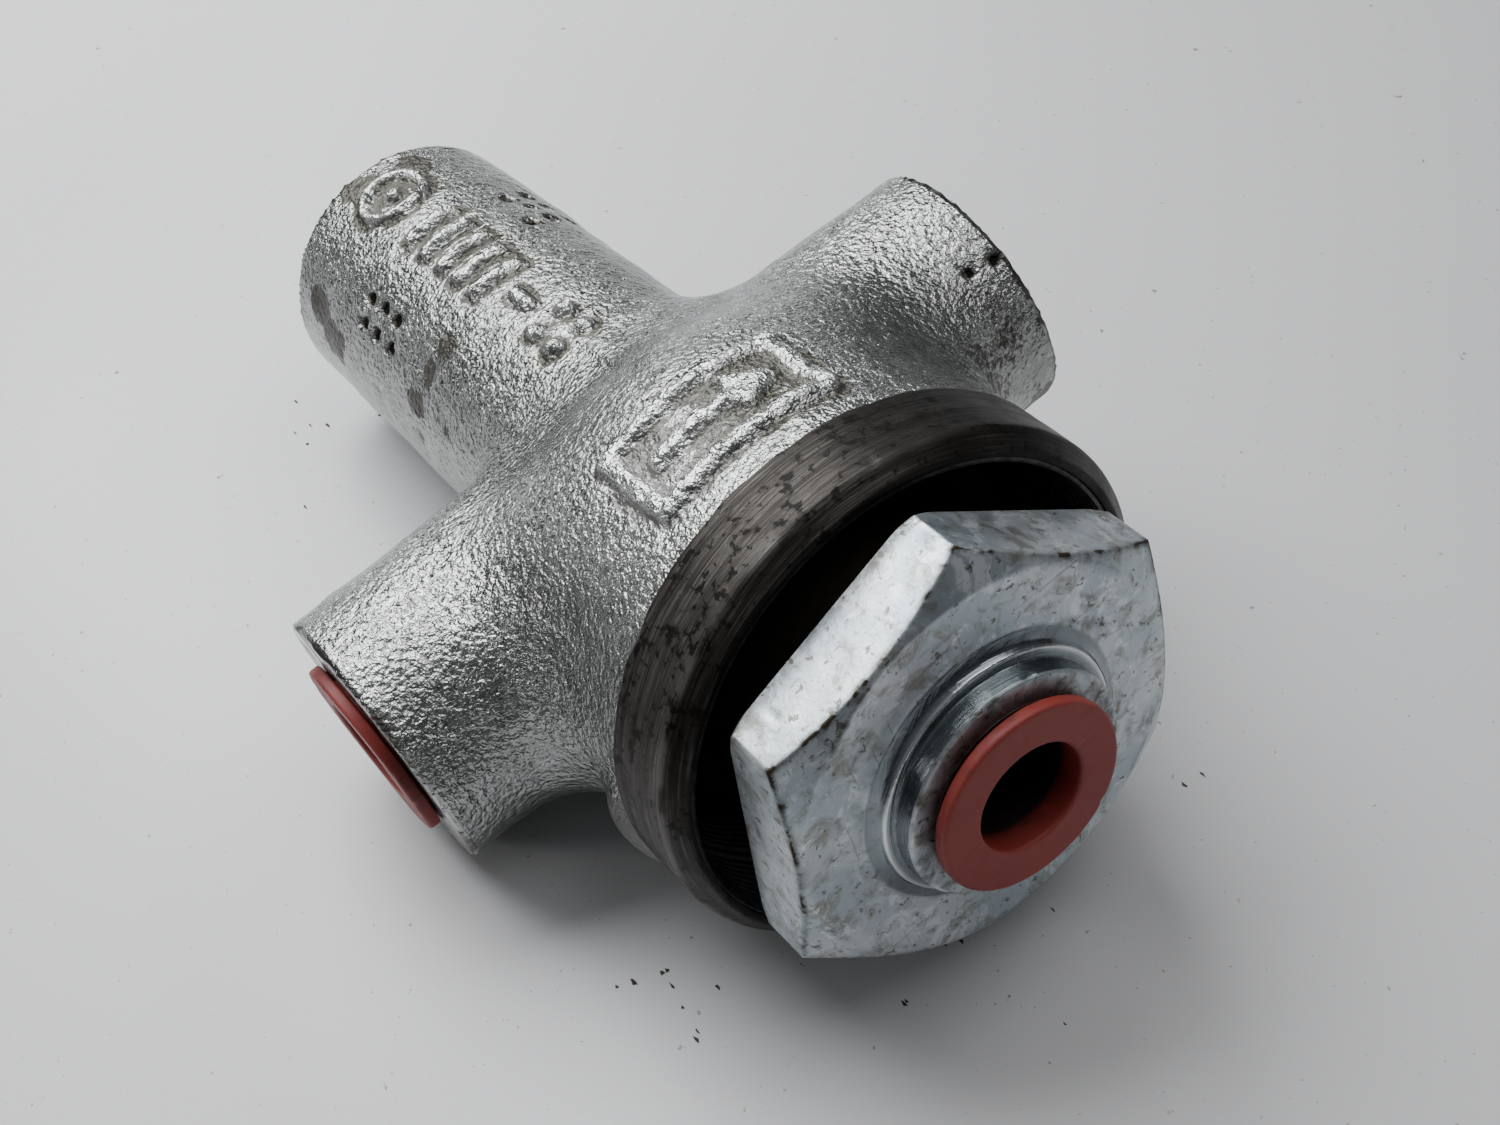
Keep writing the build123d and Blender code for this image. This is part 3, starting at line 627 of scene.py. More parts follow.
def box_2d(x, y, cx, cy, hx, hy):
    """Signed distance to a box about (cx, cy) that reaches hx and hy each way."""
    dx, dy = np.abs(x - cx) - hx, np.abs(y - cy) - hy
    return np.hypot(np.maximum(dx, 0), np.maximum(dy, 0)) + np.minimum(np.maximum(dx, dy), 0)


def triangle_2d(x, y, cx, cy, size):
    """Equilateral arrowhead that points along Y, size from centre to corner."""
    v, u = y - cy, np.abs(x - cx)
    return np.maximum(-v - size / 2, u * 0.866 + v * 0.5 - size / 2)


def relief_2d(x, y):
    """Distance in the (x, y) plane to the raised marks: a framed arrow, dot ring, bars, dash and dots."""
    d = np.abs(box_2d(x, y, LOGO_X, LOGO_Y, 6.1, 11.2)) - 1.1
    d = np.minimum(d, box_2d(x, y, LOGO_X, LOGO_Y - 2.5, 1.2, 6.0))
    d = np.minimum(d, triangle_2d(x, y, LOGO_X, LOGO_Y + 4.9, 4.4))
    ring = np.hypot(x - DOT_RING_X, y)
    d = np.minimum(d, np.abs(ring - 4.35) - 0.65)
    d = np.minimum(d, ring - 1.2)
    for i in range(5):
        d = np.minimum(d, box_2d(x, y, BARS_X + BAR_PITCH * i, 0, 0.9, 4.0))
    d = np.minimum(d, box_2d(x, y, DASH_X, 0, 2.5, 0.95))
    for sx in (-2.3, 2.3):
        for sy in (-2.3, 2.3):
            d = np.minimum(d, np.hypot(x - DOTS_X - sx, y - sy) - 1.25)
    return d


def foundry_marks(p):
    """How much each point is on a raised mark, and in the dip along its foot, both 0 to 1."""
    up = smoothstep(2.0, 8.0, p[:, 2])
    marks = relief_2d(p[:, 0] + 0.15 * noise(p, 2.2, 21), p[:, 1] + 0.15 * noise(p, 2.2, 22))
    raised = (1 - smoothstep(-0.45, 0.30, marks)) * up
    ragged = marks + 0.45 * noise(p, 2.0, 23)
    return raised, np.exp(-((np.abs(ragged - 0.65) / 0.62) ** 2)) * up


# Where the teeth of a vice bit into the boss: (x, degrees from +Y towards +Z), all at one radius
JAW_MARKS = (
    (-91.3, 129.1), (-87.5, 128.3), (-84.0, 128.8), (-91.2, 139.7), (-87.7, 140.1), (-83.6, 140.5),
    (-90.7, 53.1), (-92.5, 40.4), (-87.7, 47.4), (-89.3, 36.7), (-83.6, 45.6), (-82.1, 57.4), (-84.8, 34.3),
)
JAW_MARK_R, JAW_MARK_DEPTH = 18.8, 0.6
# Two pits near the end of the right arm: (centre, size, depth)
PITS = (((-27.8, 40.2, 12.6), 1.15, 0.7), ((-27.3, 43.9, 12.2), 1.35, 0.8))
# Dark stains on the boss: (centre, size)
STAINS = (
    ((-71.3, -10.2, 15.8), 3.2),
    ((-72.6, -13.6, 12.7), 3.4),
    ((-74.6, -16.6, 8.6), 3.4),
    ((-76.2, -18.3, 4.9), 3.6),
    ((-66.5, -16.5, 9.3), 2.6),
    ((-104.0, -16.4, 9.0), 5.5),
    ((-100.2, -17.1, 7.0), 5.0),
    ((-107.6, -2.3, 18.8), 4.6),
    ((-106.5, 4.5, 18.4), 4.2),
)


def hollow(d, inner, outer):
    """1 within a mark's flat middle and 0 beyond its edge, by the distance d from its centre."""
    return np.clip(1.5 - 1.5 * smoothstep(inner, outer, d), 0, 1)


def pressed_marks(p):
    """The depth in mm of the vice marks and pits, and how far each point is in one, 0 to 1."""
    inside = np.zeros(len(p))
    for x, turn in JAW_MARKS:
        a = math.radians(turn)
        centre = (x, JAW_MARK_R * math.cos(a), JAW_MARK_R * math.sin(a))
        inside = np.maximum(inside, hollow(distance(p, centre, (1.15, 1.10, 1.10)), 0.75, 1.45))
    depth = JAW_MARK_DEPTH * inside
    for centre, size, deep in PITS:
        pit = hollow(distance(p, centre), 0.3, size)
        depth = depth + deep * pit
        inside = np.maximum(inside, pit)
    return depth, inside


def casting_dirt_and_shade(p, raised, trench, cut):
    """Stains, grime in the hollows, painted shade on the undersides, along the foot of the raised marks and
    on the right side of the rough skin, and a darkening towards the rear, 0 to 0.8.
    """
    x, y, z = p[:, 0], p[:, 1], p[:, 2]
    stain = np.zeros(len(p))
    for centre, size in STAINS:
        d = distance(p, centre) / size
        stain = np.maximum(stain, 1 - smoothstep(0.0, 1.2, d + 0.45 * fbm(p, 3.5, 3, 31)))
    # Darker towards the bottom: painted shade on the undersides.
    low = smoothstep(8.0, -22.0, z) * smoothstep(0.0, 0.9, 0.5 + 0.7 * fbm(p, 14.0, 3, 33)) * 0.45
    tide = smoothstep(-5.6, -4.4, x) * (0.4 + 0.5 * noise(p, 2.5, 37))
    frame_inside = smoothstep(0.3, -0.3, box_2d(x, y, LOGO_X, LOGO_Y, 5.0, 10.1))
    inlay = frame_inside * (1 - raised) * smoothstep(2.0, 8.0, z)
    # A broken dark line along the foot of the raised marks: painted shade.
    foot = trench * (0.55 + 0.45 * smoothstep(-0.2, 0.4, noise(p, 3.0, 35))) * (1 - 0.6 * inlay)
    # Darker on the right side, by the barrel: painted shade on the side turned from the light.
    right_side_shade = 0.44 * smoothstep(8.0, 32.0, y) * smoothstep(-36.0, -24.0, x) * (0.8 + 0.5 * noise(p, 5.0, 77))
    # Darker towards the rear end of the boss.
    rearward_darkening = 0.20 * smoothstep(-62.0, -88.0, x) * (0.8 + 0.5 * noise(p, 9.0, 79))
    face = cut * (0.35 + 0.35 * noise(p, 4.0, 73))
    inlay = (0.5 + 0.3 * noise(p, 3.0, 39)) * inlay
    return np.clip(0.76 * stain + low + 1.15 * foot + inlay + tide + face + right_side_shade + rearward_darkening, 0, 0.80)


def remeshed(node):
    """A copy of a node's CAD mesh in small even faces."""
    source = add_object("source", node.data.copy())
    remesh = source.modifiers.new("remesh", "REMESH")
    remesh.mode = "VOXEL"
    remesh.voxel_size = 0.56 * MM
    mesh = bpy.data.meshes.new_from_object(source.evaluated_get(bpy.context.evaluated_depsgraph_get()))
    bpy.data.objects.remove(source)
    mesh.shade_smooth()
    mesh.materials.clear()
    return mesh


def settled(p):
    """The points moved onto the surface of the distance field."""
    for turn in range(9):
        g, length = gradient(field, p)
        reach = 2.0 if turn < 5 else 0.8
        p = p - g * np.clip(field(p) / np.maximum(length, 0.5), -reach, reach)[:, None]
    return p


def build_casting():
    mesh = remeshed(NODES["valve_body"])
    mesh.name = "casting"
    mesh.materials.append(CASTING)
    obj = add_object("casting", mesh)
    p = settled(points_of(obj))
    outer = outer_field(p)
    outward, _ = gradient(outer_field, p)
    skin = smoothstep(-0.25, -0.02, outer) * smoothstep(0.1, 0.8, -end_planes(p))
    raised, trench = foundry_marks(p)
    depth, pressed = pressed_marks(p)
    height = 0.13 * noise(p, 7.0, 3) + 0.10 * noise(p, 2.6, 5) + 0.05 * noise(p, 1.3, 7)
    height = height + 1.05 * raised * (1 + 0.30 * noise(p, 1.6, 9)) - 0.16 * trench - depth
    p = p + outward * (height * skin)[:, None]
    move_points(obj, p)

    x, y = p[:, 0], p[:, 1]
    cut = smoothstep(-0.6, -0.25, end_planes(p))
    chips = smoothstep(2.0, 0.2, -end_planes(p)) * smoothstep(0.05, 0.5, noise(p, 1.9, 71)) * 0.80
    gate_shade = 0.91 * (1 - smoothstep(9.0, 11.5, distance(p, (-7.5, -26.0, -8.0))))
    dirt_and_shade = np.maximum.reduce([casting_dirt_and_shade(p, raised, trench, cut), gate_shade, chips, pressed])
    # Inside the bores every point is set to 1, which the shader draws near black: painted shade.
    dirt_and_shade = np.where((outer > -0.6) | (cut > 0.5), dirt_and_shade, 1.0)
    # Lighter on the left of the barrel: painted light.
    barrel_left_light = 0.42 * smoothstep(-28.0, -15.0, x) * smoothstep(6.0, -12.0, y) * (0.8 + 0.4 * noise(p, 6.0, 81))
    # Lighter colour: real wear on the raised marks and the cut faces, with the painted light on the barrel.
    wear_and_light = (0.7 * raised + barrel_left_light) * (outer > -0.6) + 0.45 * cut * (0.5 + 0.5 * noise(p, 5.0, 75))
    for name, values in (("dirt_and_shade", dirt_and_shade), ("wear_and_light", wear_and_light), ("cut", cut)):
        set_attribute(obj, name, values)
    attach(obj, "valve")
    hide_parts("valve_body")


# ---------------------------------------------------------------- the turned and screwed pieces
def peak(value, centre, width):
    """1 where the value is at the centre, falling away over the width."""
    return np.exp(-(((value - centre) / width) ** 2))


def saw(t):
    """Rounded V-thread shape, 0 at the crest and 1 at the root, for phase t."""
    v = 1 - np.abs((t % 1.0) * 2 - 1)
    return smoothstep(0.12, 0.88, v)


def thread_sleeve(
    name, x0, x1, crest_r, root_r, back_r, pitch, slot, segments=144, place=None, lead=0.0
):
    """A thin sleeve with a thread inside it, and at x1 a lead-in that flares out by lead."""
    rows = int((x1 - x0) / pitch * 8)
    xs = np.linspace(x0, x1, rows)
    outline = [(x, crest_r) for x in xs] + [(x, back_r) for x in xs[::-1]]
    inner = np.zeros((len(outline), 1))
    inner[:rows] = 1.0

    def threaded(x, r, th):
        depth = saw(x / pitch - th / TAU)
        flare = lead * (1 - smoothstep(0.0, 1.6, x1 - x))
        run = smoothstep(x0, x0 + pitch, x)
        return x, r + inner * np.maximum(depth * run * (root_r - crest_r), flare)

    return lathe(name, outline, SHADED_THREAD, segments, radius_fn=threaded, place=place, slot=slot)


def off_centre(p):
    """The turned spigot is a little off the axis of the casting, as in the photograph."""
    k = smoothstep(-6.5, -4.4, p[:, 0])[:, None]
    return p + k * np.array([0.2, -0.55, -0.22])


def build_spigot():
    """The machined open end of the casting: outer band, mouth chamfer and the threaded bore."""
    wall, inner_end = MOUTH_BORE_R + 0.72, MOUTH_FLOOR_X + 0.1
    outline = rounded(
        [
            (-SPIGOT_HALF, 30.4, 0.05),
            (-SPIGOT_HALF, SPIGOT_R, 0.35),
            (SPIGOT_HALF, SPIGOT_R, 0.25),
            (MOUTH_X, MOUTH_LIP_R, 0.25),
            (MOUTH_X, wall - 0.1, 0.2),
            (MOUTH_X - 0.7, wall, 0.1),
            (inner_end, wall, 0.05),
            (inner_end, wall + 0.3, 0.05),
            (-SPIGOT_HALF - 0.3, wall + 0.3, 0.05),
        ]
    )
    outline = divided(outline, 0.45)

    def turned(x, r, th):
        p = on_circle(x, r, th).reshape(-1, 3)
        outer = smoothstep(30.6, 31.6, r) * (x > -4.8)
        groove = noise(p * np.array([1.0, 0.0, 0.0]), 0.55, 41).reshape(x.shape)
        nicks = np.clip(noise(p, 1.6, 43).reshape(x.shape) - 0.62, 0, 1)
        back = smoothstep(-3.4, -4.4, x) * outer
        ragged = 0.30 * noise(p, 2.4, 45).reshape(x.shape)
        return x + back * ragged, r + outer * (0.04 * groove - 0.35 * nicks) + back * 0.1 * ragged

    ring = lathe("spigot_band", outline, SPIGOT, 480, radius_fn=turned, slot="zinc_casting")
    p = points_of(ring)
    x, rho = p[:, 0], np.hypot(p[:, 1], p[:, 2])
    left = smoothstep(22.0, -22.0, p[:, 1])
    edge = peak(rho, 32.2, 0.25) * peak(x, 4.5, 0.5)
    rim = peak(rho, 30.3, 0.18) * (x > 6.2)
    # Lighter along the front edge and the mouth rim: worn edges, with a painted highlight that is stronger on
    # the left, the lit side.
    broken = smoothstep(-0.2, 0.6, noise(p, 4.0, 47)) * (0.2 + 0.8 * left)
    set_attribute(ring, "wear_and_light", (edge * 0.45 + rim * 0.2) * broken)
    # Darker on the lip at the mouth, less so on the left; on the right side; towards the bottom; and inside
    # the mouth. The right side, the bottom and the inside are painted shade.
    lip = smoothstep(4.2, 4.8, x) * (0.62 + 0.25 * noise(p, 5.0, 48)) * (1 - 0.30 * left)
    right = (1 - left) * (0.76 + 0.20 * noise(p, 7.0, 49))
    low = smoothstep(2.0, -18.0, p[:, 2]) * 0.75
    set_attribute(ring, "dirt_and_shade", np.maximum.reduce([lip, right, low, 0.8 * (rho < 30.0)]))
    move_points(ring, off_centre(p))
    thread = thread_sleeve(
        "mouth_thread", inner_end, MOUTH_X - 0.3, MOUTH_BORE_R, 29.3, 29.75, 1.2, "zinc_casting", 240
    )
    move_points(thread, off_centre(points_of(thread)))


ARM_LEFT = Matrix.Translation((ARM_X, 0, 0)) @ Matrix.Rotation(-math.pi / 2, 4, "Z")
ARM_RIGHT = Matrix.Translation((ARM_X, 0, 0)) @ Matrix.Rotation(math.pi / 2, 4, "Z")


def port_thread(name, x0, x1, wall, slot, place=None):
    """The G1/2 thread from x0 to the port's mouth at x1."""
    back_r = PORT_MAJOR_R + wall
    return thread_sleeve(
        name, x0, x1 - 0.02, PORT_R, PORT_MAJOR_R, back_r, PORT_PITCH, slot, place=place, lead=1.05
    )


def build_ports():
    for side, place, end in (("left", ARM_LEFT, LEFT_END), ("right", ARM_RIGHT, RIGHT_END)):
        port_thread(side + "_port_thread", end - PORT_DEPTH, end, 0.3, "zinc_casting", place)


def hex_radius(th):
    """Distance from the axis to the nearest flat, along the angle th."""
    a = (th - HEX_TURN) % SIXTH - SIXTH / 2
    return HEX_FLAT_R / np.cos(a)


def hex_angles(count):
    """Angles of a turned grid, packed closer at the six corners."""
    step = SIXTH / 2 * np.linspace(-1, 1, count // 6, endpoint=False)
    near = step + 0.012 * np.sin(step * 6)
    return np.concatenate([HEX_TURN + SIXTH / 2 + k * SIXTH + near for k in range(6)])


def lean(p):
    """The loosely screwed-in cartridge stands a little off the axis, as in the photograph."""
    k = smoothstep(-12.0, 12.0, p[:, 0])[:, None]
    return p + k * np.array([0.0, -0.70, -0.30])


def head_outline():
    """Collar, hexagon and neck from the port's mouth round to its bottom, finer on the chamfer cone."""
    outside = rounded(
        [
            (COLLAR_FRONT_X - 0.6, PORT_MAJOR_R + 0.1, 0.05),
            (COLLAR_FRONT_X, PORT_MAJOR_R + 0.35, 0.2),
            (COLLAR_FRONT_X, COLLAR_R, 0.45),
            (20.95, COLLAR_R, 0.35),
            (20.8, COLLAR_STEP_R, 0.22),
            (20.1, 15.45, 0.5),
            (HEX_FACE_X, 16.9, 0.7),
            (HEX_FACE_X, HEX_FACE_R, 0.30),
            (16.67, HEX_CORNER_R, 0.1),
            (10.35, HEX_CORNER_R, 0.2),
            (HEX_BACK_X, 28.0, 0.2),
            (HEX_BACK_X, 20.0, 0.3),
            (8.0, 20.0, 0.0),
        ],
        0.3,
        False,
    )
    neck = [(-6.0, 20.0), (-7.0, 23.0), (-8.0, 24.0), (-11.5, 24.0), (-11.5, 17.8), (-14.5, 17.8)]
    nose = [(-15.3, 18.95), (-24.0, 18.95), (-25.0, 16.5), (-25.0, 14.48), (-27.0, 14.48), (-27.0, 12.5)]
    nose += [(-31.0, 12.5), (-31.0, 14.48), (-32.0, 14.2), (-32.0, 9.0), (-22.0, 9.0)]
    bore = [(-22.0, 5.5), (-14.5, 5.5), (-12.0, 8.0), (7.8, 8.0), (7.8, 8.6), (8.9, 8.6), (8.9, 8.0)]
    bore += [(9.6, 8.0), (9.6, PORT_MAJOR_R + 0.1)]
    cone = next(k for k, point in enumerate(outside) if point[1] > HEX_FACE_R + 0.2)
    face = divided(outside[: cone + 1], 0.5, False)
    chamfer = divided(outside[cone : cone + 2], 0.22, False)
    flank = divided(outside[cone + 1 :], 0.5, False)
    return face[:-1] + chamfer[:-1] + flank + neck + nose + bore


def with_flats(x, r, th):
    """Cuts the six flats into the turned hexagon, and adds small waves and nicks."""
    on_hex = (x > 9.5) & (r > 19.0)
    r = np.where(on_hex, smooth_min(r, hex_radius(th), 0.32), r)
    p = on_circle(x, r, th).reshape(-1, 3)
    broad = noise(p, 9.0, 51).reshape(x.shape)
    small = noise(p, 2.2, 53).reshape(x.shape)
    nick = np.clip(noise(p, 1.9, 55).reshape(x.shape) - 0.50, 0, 1)
    corner = smoothstep(0.9, 2.6, r - HEX_FLAT_R) * on_hex
    outer = (r > 13.0) & (x > 9.0)
    rim = (x > 22.9) & (r > 13.0)
    sunk = corner * 0.5 * nick + rim * 0.35 * nick
    back = corner * 0.35 * nick * (x > 14) + rim * 0.3 * nick
    r = r + outer * (0.03 * broad + 0.012 * small) - sunk
    return x + outer * (x > 18.0) * (0.05 * broad + 0.012 * small) - back, r


def head_dirt_and_shade(p):
    """Grime on the head's edges, in its corners and in curved scuffs, 0 to 1, with painted shade on the back
    of the hexagon and, near black, on the neck and in the bore.
    """
    x, rho = p[:, 0], np.hypot(p[:, 1], p[:, 2])
    th = np.arctan2(p[:, 2], p[:, 1])
    flat = hex_radius(th)
    on_hex = x > 9.5
    edge_x = HEX_FACE_X - 0.569 * (flat - HEX_FACE_R)
    on_flat = np.maximum(smoothstep(-0.45, -0.20, rho - flat), peak(rho, flat, 0.6))
    chamfer_edge = peak(x, edge_x, 0.52) * on_flat * (x > 14.0)
    upright = smoothstep(2.6, 3.5, rho - HEX_FLAT_R) * on_hex
    foot = peak(rho, 17.0, 0.6) * (x > 19.0) * (x < 19.9)
    seam = peak(rho, 14.1, 0.30) * (x > 20.2) * (x < 21.4)
    rim = smoothstep(22.9, 23.4, x) * smoothstep(11.0, 12.6, rho)
    # The back of the hexagon, turned to the spigot: painted shade.
    back = smoothstep(11.8, 9.8, x) * smoothstep(20.0, 23.0, rho) * on_hex
    face_edge = peak(rho, HEX_FACE_R, 0.45) * (x > 19.0)
    # The neck and the bore inside the collar are set to 1, near black: painted shade with dark oil.
    inner = (x < 9.5) | ((rho < 11.3) & (x < 23.4))
    patch = smoothstep(0.0, 0.6, fbm(p, 6.0, 3, 61))
    fine = smoothstep(-0.1, 0.5, fbm(p, 2.0, 3, 63))
    around = np.stack([rho * 1.6, th * 5.0, 0 * rho], -1)
    arcs = smoothstep(0.42, 0.70, noise(around, 1.0, 67)) * (x > 16.0) * (rho > 17.5)
    arcs = arcs * smoothstep(-0.2, 0.3, fbm(p, 9.0, 2, 69))
    dirt_and_shade = (
        chamfer_edge * (0.60 + 0.55 * fine)
        + arcs * 0.42
        + upright * 0.50 * patch
        + 0.35 * foot * patch
        + 0.65 * seam
        + rim * 0.72 * (0.4 + 0.6 * fine)
        + back * 0.55
        + face_edge * 0.40 * patch
    )
    limit = 0.78 + 0.18 * smoothstep(0.3, 0.7, chamfer_edge)
    return np.where(inner, 1.0, np.clip(dirt_and_shade, 0, limit))


def build_head():
    """Cartridge head: hexagon, collar and neck in one closed turned grid."""
    angles = hex_angles(432)
    head = lathe(
        "cartridge_head_body", head_outline(), PLATE, radius_fn=with_flats, angles=angles,
        slot="zinc_plate", replaces=("cartridge_head",),
    )
    p = points_of(head)
    x, rho = p[:, 0], np.hypot(p[:, 1], p[:, 2])
    set_attribute(head, "dirt_and_shade", head_dirt_and_shade(p))
    # The polished zone: lower roughness and turned lines, and a darker colour as painted dark reflection.
    polish_and_dark_reflection = (rho > 13.0) * (rho < 16.8) * (x > 19.3) * (x < 23.3)
    set_attribute(head, "polish_and_dark_reflection", polish_and_dark_reflection.astype(float))
    # Near white along the collar step: painted highlight; along the front rim, worn bright metal and painted
    # highlight, in patches.
    step = peak(x, 20.7, 0.22) * peak(rho, 15.1, 0.28)
    rim_edge = peak(x, 23.45, 0.25) * peak(rho, 13.8, 0.3)
    worn = smoothstep(0.1, 0.6, fbm(p, 3.0, 2, 65))
    set_attribute(head, "highlight_and_wear", 0.85 * step + 0.8 * rim_edge * worn)
    move_points(head, lean(p))
    weighted(head)
    sleeve = port_thread("inlet_port_thread", COLLAR_FRONT_X - 13.4, COLLAR_FRONT_X, 0.25, "zinc_plate")
    move_points(sleeve, lean(points_of(sleeve)))


def cap_outline():
    """A cup with a flange in front and three ribs on its plug, front face at x = 0."""
    flange, end = 1.6, 13.6
    points = [(-end, 0.0), (-end, 8.2, 0.3), (0.8 - end, 8.9, 0.3)]
    for rib in (-11.2, -8.6, -6.0):
        points += [(rib - 0.5, 8.97, 0.1), (rib - 0.25, 9.26, 0.15)]
        points += [(rib + 0.25, 9.26, 0.15), (rib + 0.5, 8.99, 0.1)]
    points += [
        (-flange, 9.05, 0.3),
        (-flange, 11.8, 0.35),
        (0.0, 11.8, 0.55),
        (0.0, 6.76, 0.5),
        (1.5 - end, 6.46, 0.8),
        (1.5 - end, 0.0),
    ]
    return points


def build_cap(name, place, body, node, seed):
    """A moulded dust cap whose front face is at the origin of place, facing along its X."""
    outline = divided(rounded(cap_outline(), 0.3, False, 4), 0.4, False)

    def moulded(x, r, th):
        p = on_circle(x, r, th).reshape(-1, 3)
        wave = noise(p, 8.0, seed).reshape(x.shape)
        scar = np.clip(noise(p, 1.5, seed + 1).reshape(x.shape) - 0.5, 0, 1)
        flange = x > -1.9
        x2 = x + flange * 0.07 * wave * (x > -1.0) - flange * 0.18 * scar * (r > 7)
        r2 = r + flange * (0.06 * wave - 0.25 * scar * (r > 11.0)) * (r > 6)
        return x2, r2

    cap = lathe(
        name, outline, RED, closed=False, radius_fn=moulded, place=place,
        body=body, slot="red_plastic", replaces=(node,),
    )
    p = points_of(cap)
    from_face = p - np.array(place.translation)
    axis = np.array(place.to_3x3().col[0])
    along = from_face @ axis
    rho = np.linalg.norm(from_face - along[:, None] * axis, axis=1)
    # Inside the cap's hole: painted shade, drawn near black.
    deep = smoothstep(-0.7, -4.0, along) * (rho < 7.0)
    edge = smoothstep(11.0, 11.8, rho) * 0.5 * smoothstep(0.0, 0.6, fbm(p, 4.0, 2, seed + 5))
    set_attribute(cap, "dirt_and_shade", np.maximum(deep, edge))
    weighted(cap)
    return cap


def build_caps():
    front_place = Matrix.Translation((FRONT_CAP_X, 0, 0))
    front = build_cap("inlet_dust_cap", front_place, "front_cap", "front_port_cap", 71)
    move_points(front, lean(points_of(front)))
    left_place = Matrix.Translation((0, LEFT_CAP_Y, 0)) @ ARM_LEFT
    build_cap("left_dust_cap", left_place, "left_cap", "left_port_cap", 81)


def build_rear_plug():
    """Flush hexagon-socket plug. Its flange rests on the seal washer at x = seat."""
    seat = REAR_X + 0.5
    outline = rounded(
        [
            (seat + 3.0, 0.0),
            (seat + 3.0, 5.0, 0.1),
            (seat - 4.0, 5.0, 0.45),
            (seat - 4.0, 13.0, 0.7),
            (seat, 13.0, 0.2),
            (seat, 8.3, 0.2),
            (seat + 2.9, 8.3, 0.2),
            (seat + 3.7, 9.3, 0.3),
            (seat + 9.5, 9.3, 0.4),
            (seat + 10.5, 8.3, 0.2),
            (seat + 10.5, 0.0),
        ],
        0.3,
        False,
    )
    outline = divided(outline, 0.5, False)

    def socket(x, r, th):
        inner = (r < 5.6) & (x < seat + 3.2)
        a = (th + 0.3) % SIXTH - SIXTH / 2
        return x, np.where(inner, r / np.cos(a), r)

    plug = lathe(
        "rear_socket_plug", outline, PLATE, 240, closed=False, radius_fn=socket,
        slot="zinc_plate", replaces=("rear_plug",),
    )
    p = points_of(plug)
    rho = np.hypot(p[:, 1], p[:, 2])
    # Darker in the hexagon socket and at the flange rim.
    set_attribute(plug, "dirt_and_shade", 0.6 * (rho < 6.2) + 0.4 * smoothstep(12.0, 13.0, rho))
    weighted(plug)


build_casting()
build_spigot()
build_ports()
build_head()
build_caps()
build_rear_plug()


# ---------------------------------------------------------------- floor, light and camera
# The plane the valve rests on: its upward direction, and its distance from the origin
FLOOR_UP, FLOOR_REST = (0.124, 0.218, 0.968), -32.2
FLOOR_HALF, FLOOR_LOWEST = 4500.0, -130.0
ROLL_Y, ROLL_LENGTH = -48.0, 30.0
# Crumbs of dirt, in patches of (x, y, spread, count)
GRIT_PATCHES = ((-110, -24, 5.0, 7), (-3, -39, 4.0, 9), (19, -4, 4.0, 4), (14, -21, 1.5, 2), (11, 28, 2.0, 2))


def floor_height(x, y):
    """The plane through the three rest points, rolled over beyond the left arm."""
    past = np.maximum(ROLL_Y - y, 0)
    drop = np.where(past < ROLL_LENGTH, past - 0.0267 * past**2, 6.0 - 0.6 * (past - ROLL_LENGTH))
    level = np.where(past > 0, ROLL_Y - drop, y)
    return (FLOOR_REST - FLOOR_UP[0] * x - FLOOR_UP[1] * level) / FLOOR_UP[2]


def build_floor():
    """A pale board that meets the three points the valve rests on and falls away beyond them."""
    n = 161
    t = np.linspace(-1, 1, n)
    axis = np.sign(t) * (np.abs(t) ** 2.7) * FLOOR_HALF
    x, y = np.meshgrid(axis + ARM_X, axis, indexing="ij")
    plane = floor_height(x, y)
    away = smoothstep(105.0, 230.0, np.hypot(x - ARM_X, y))
    z = np.maximum(plane * (1 - away) + np.minimum(plane, -36.0) * away, FLOOR_LOWEST)
    i, j = np.arange(n - 1)[:, None], np.arange(n - 1)[None, :]
    faces = np.stack([i * n + j, (i + 1) * n + j, (i + 1) * n + j + 1, i * n + j + 1], -1).reshape(-1, 4)
    verts = np.stack([x, y, z], -1).reshape(-1, 3)
    add_object("floor", make_mesh("floor", verts, faces.tolist(), floor_material()))


def build_grit():
    """Flat seven-sided crumbs, scattered by a fixed seed."""
    rng = np.random.default_rng(4)
    turn = np.arange(7) * TAU / 7
    verts, faces = [], []
    for patch_x, patch_y, spread, count in GRIT_PATCHES:
        for _ in range(count):
            x, y = rng.normal((patch_x, patch_y), spread)
            long, short = rng.uniform(0.2, 0.6), rng.uniform(0.1, 0.3)
            turned = turn + rng.uniform(0, TAU)
            r = 1 + 0.3 * np.sin(turn * 3)
            px = np.append(x + long * r * np.cos(turned), x)
            py = np.append(y + short * r * np.sin(turned), y)
            lift = np.append(np.full(7, 0.02), 0.35 * short)
            first = 8 * len(verts)
            verts.append(np.stack([px, py, floor_height(px, py) + lift], -1))
            faces += [(first + i, first + (i + 1) % 7, first + 7) for i in range(7)]
    dark = soft_material("grit", (0.020, 0.018, 0.016), (0.05, 0.045, 0.04), 0.8)
    add_object("floor_grit", make_mesh("floor_grit", np.concatenate(verts), faces, dark))


def area_light(name, position, target, size, power, color):
    data = bpy.data.lights.new(name, "AREA")
    data.energy = power
    data.color = color
    data.size = size
    lamp = add_object(name, data)
    lamp.location = position
    lamp.rotation_mode = "QUATERNION"
    lamp.rotation_quaternion = (Vector(target) - Vector(position)).to_track_quat("-Z", "Y")


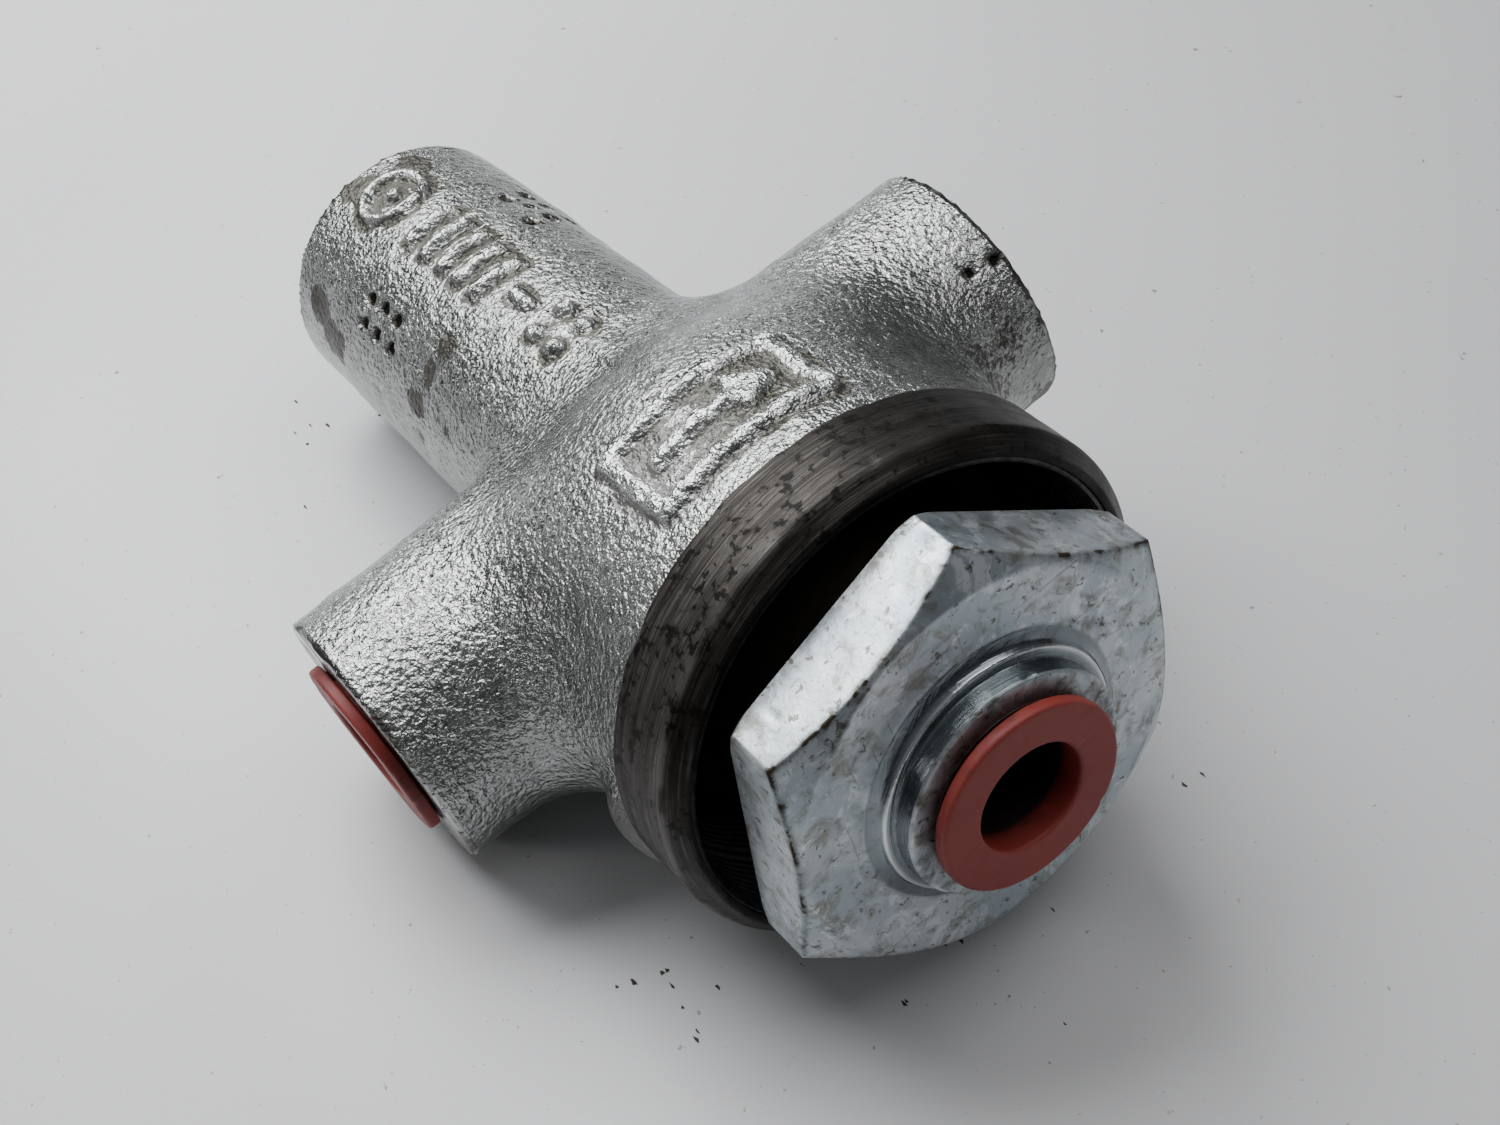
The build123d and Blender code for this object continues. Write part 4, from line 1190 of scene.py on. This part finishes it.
SKY_LOW, SKY_HIGH, BACKDROP = (0.10, 0.10, 0.105, 1), (0.80, 0.82, 0.85, 1), (1.10, 1.11, 1.14, 1)
SKY_STRENGTH = 0.31


def build_world():
    """A sky that brightens upwards for the reflections, and a plain pale one behind the scene."""
    world = bpy.data.worlds.new("studio")
    bpy.context.scene.world = world
    world.use_nodes = True
    nodes, link = world.node_tree.nodes, world.node_tree.links.new
    coord = nodes.new("ShaderNodeTexCoord")
    split = nodes.new("ShaderNodeSeparateXYZ")
    link(coord.outputs["Generated"], split.inputs[0])
    height = nodes.new("ShaderNodeMath")
    height.operation = "MULTIPLY_ADD"
    height.inputs[1].default_value = 0.5
    height.inputs[2].default_value = 0.5
    link(split.outputs[2], height.inputs[0])
    sky = nodes.new("ShaderNodeValToRGB")
    low, high = sky.color_ramp.elements
    low.position, low.color = 0.45, SKY_LOW
    high.position, high.color = 1.0, SKY_HIGH
    link(height.outputs[0], sky.inputs["Fac"])
    seen = nodes.new("ShaderNodeLightPath")
    pick = nodes.new("ShaderNodeMix")
    pick.data_type = "RGBA"
    pick.inputs[7].default_value = BACKDROP
    link(seen.outputs["Is Camera Ray"], pick.inputs["Factor"])
    link(sky.outputs["Color"], pick.inputs[6])
    background = nodes["Background"]
    link(pick.outputs[2], background.inputs["Color"])
    background.inputs["Strength"].default_value = SKY_STRENGTH


def build_lamps():
    """Three soft square lamps: where each is, what it points at, its size in metres and its power."""
    area_light("window", (-0.48, 0.08, 0.72), (-0.03, 0, 0), 0.72, 15.2, (0.97, 0.985, 1.0))
    area_light("fill", (0.22, 0.52, 0.80), (0.02, 0.02, -0.02), 0.75, 3.8, (1.0, 1.0, 1.0))
    area_light("strip", (-0.20, -0.75, 0.55), (-0.04, 0, 0), 0.18, 0.9, (1.0, 0.99, 0.97))


CAMERA_AT = (0.15512, -0.05824, 0.19195)
CAMERA_RIGHT = (0.56639884, 0.76642332, -0.30296477)
CAMERA_DOWN = (0.48240618, -0.60638327, -0.63212626)
CAMERA_AHEAD = (-0.66818907, 0.2118835, -0.71318213)


def build_camera():
    """The photograph's camera, fitted to the outlines of the valve."""
    data = bpy.data.cameras.new("camera")
    data.sensor_fit = "HORIZONTAL"
    data.sensor_width = 36.0
    data.lens = 54.57
    data.clip_start, data.clip_end = 0.01, 20.0
    cam = add_object("camera", data)
    columns = (Vector(CAMERA_RIGHT), -Vector(CAMERA_DOWN), -Vector(CAMERA_AHEAD))
    cam.matrix_world = Matrix.Translation(CAMERA_AT) @ Matrix(columns).transposed().to_4x4()
    bpy.context.scene.camera = cam


build_floor()
build_grit()
build_world()
build_lamps()
build_camera()
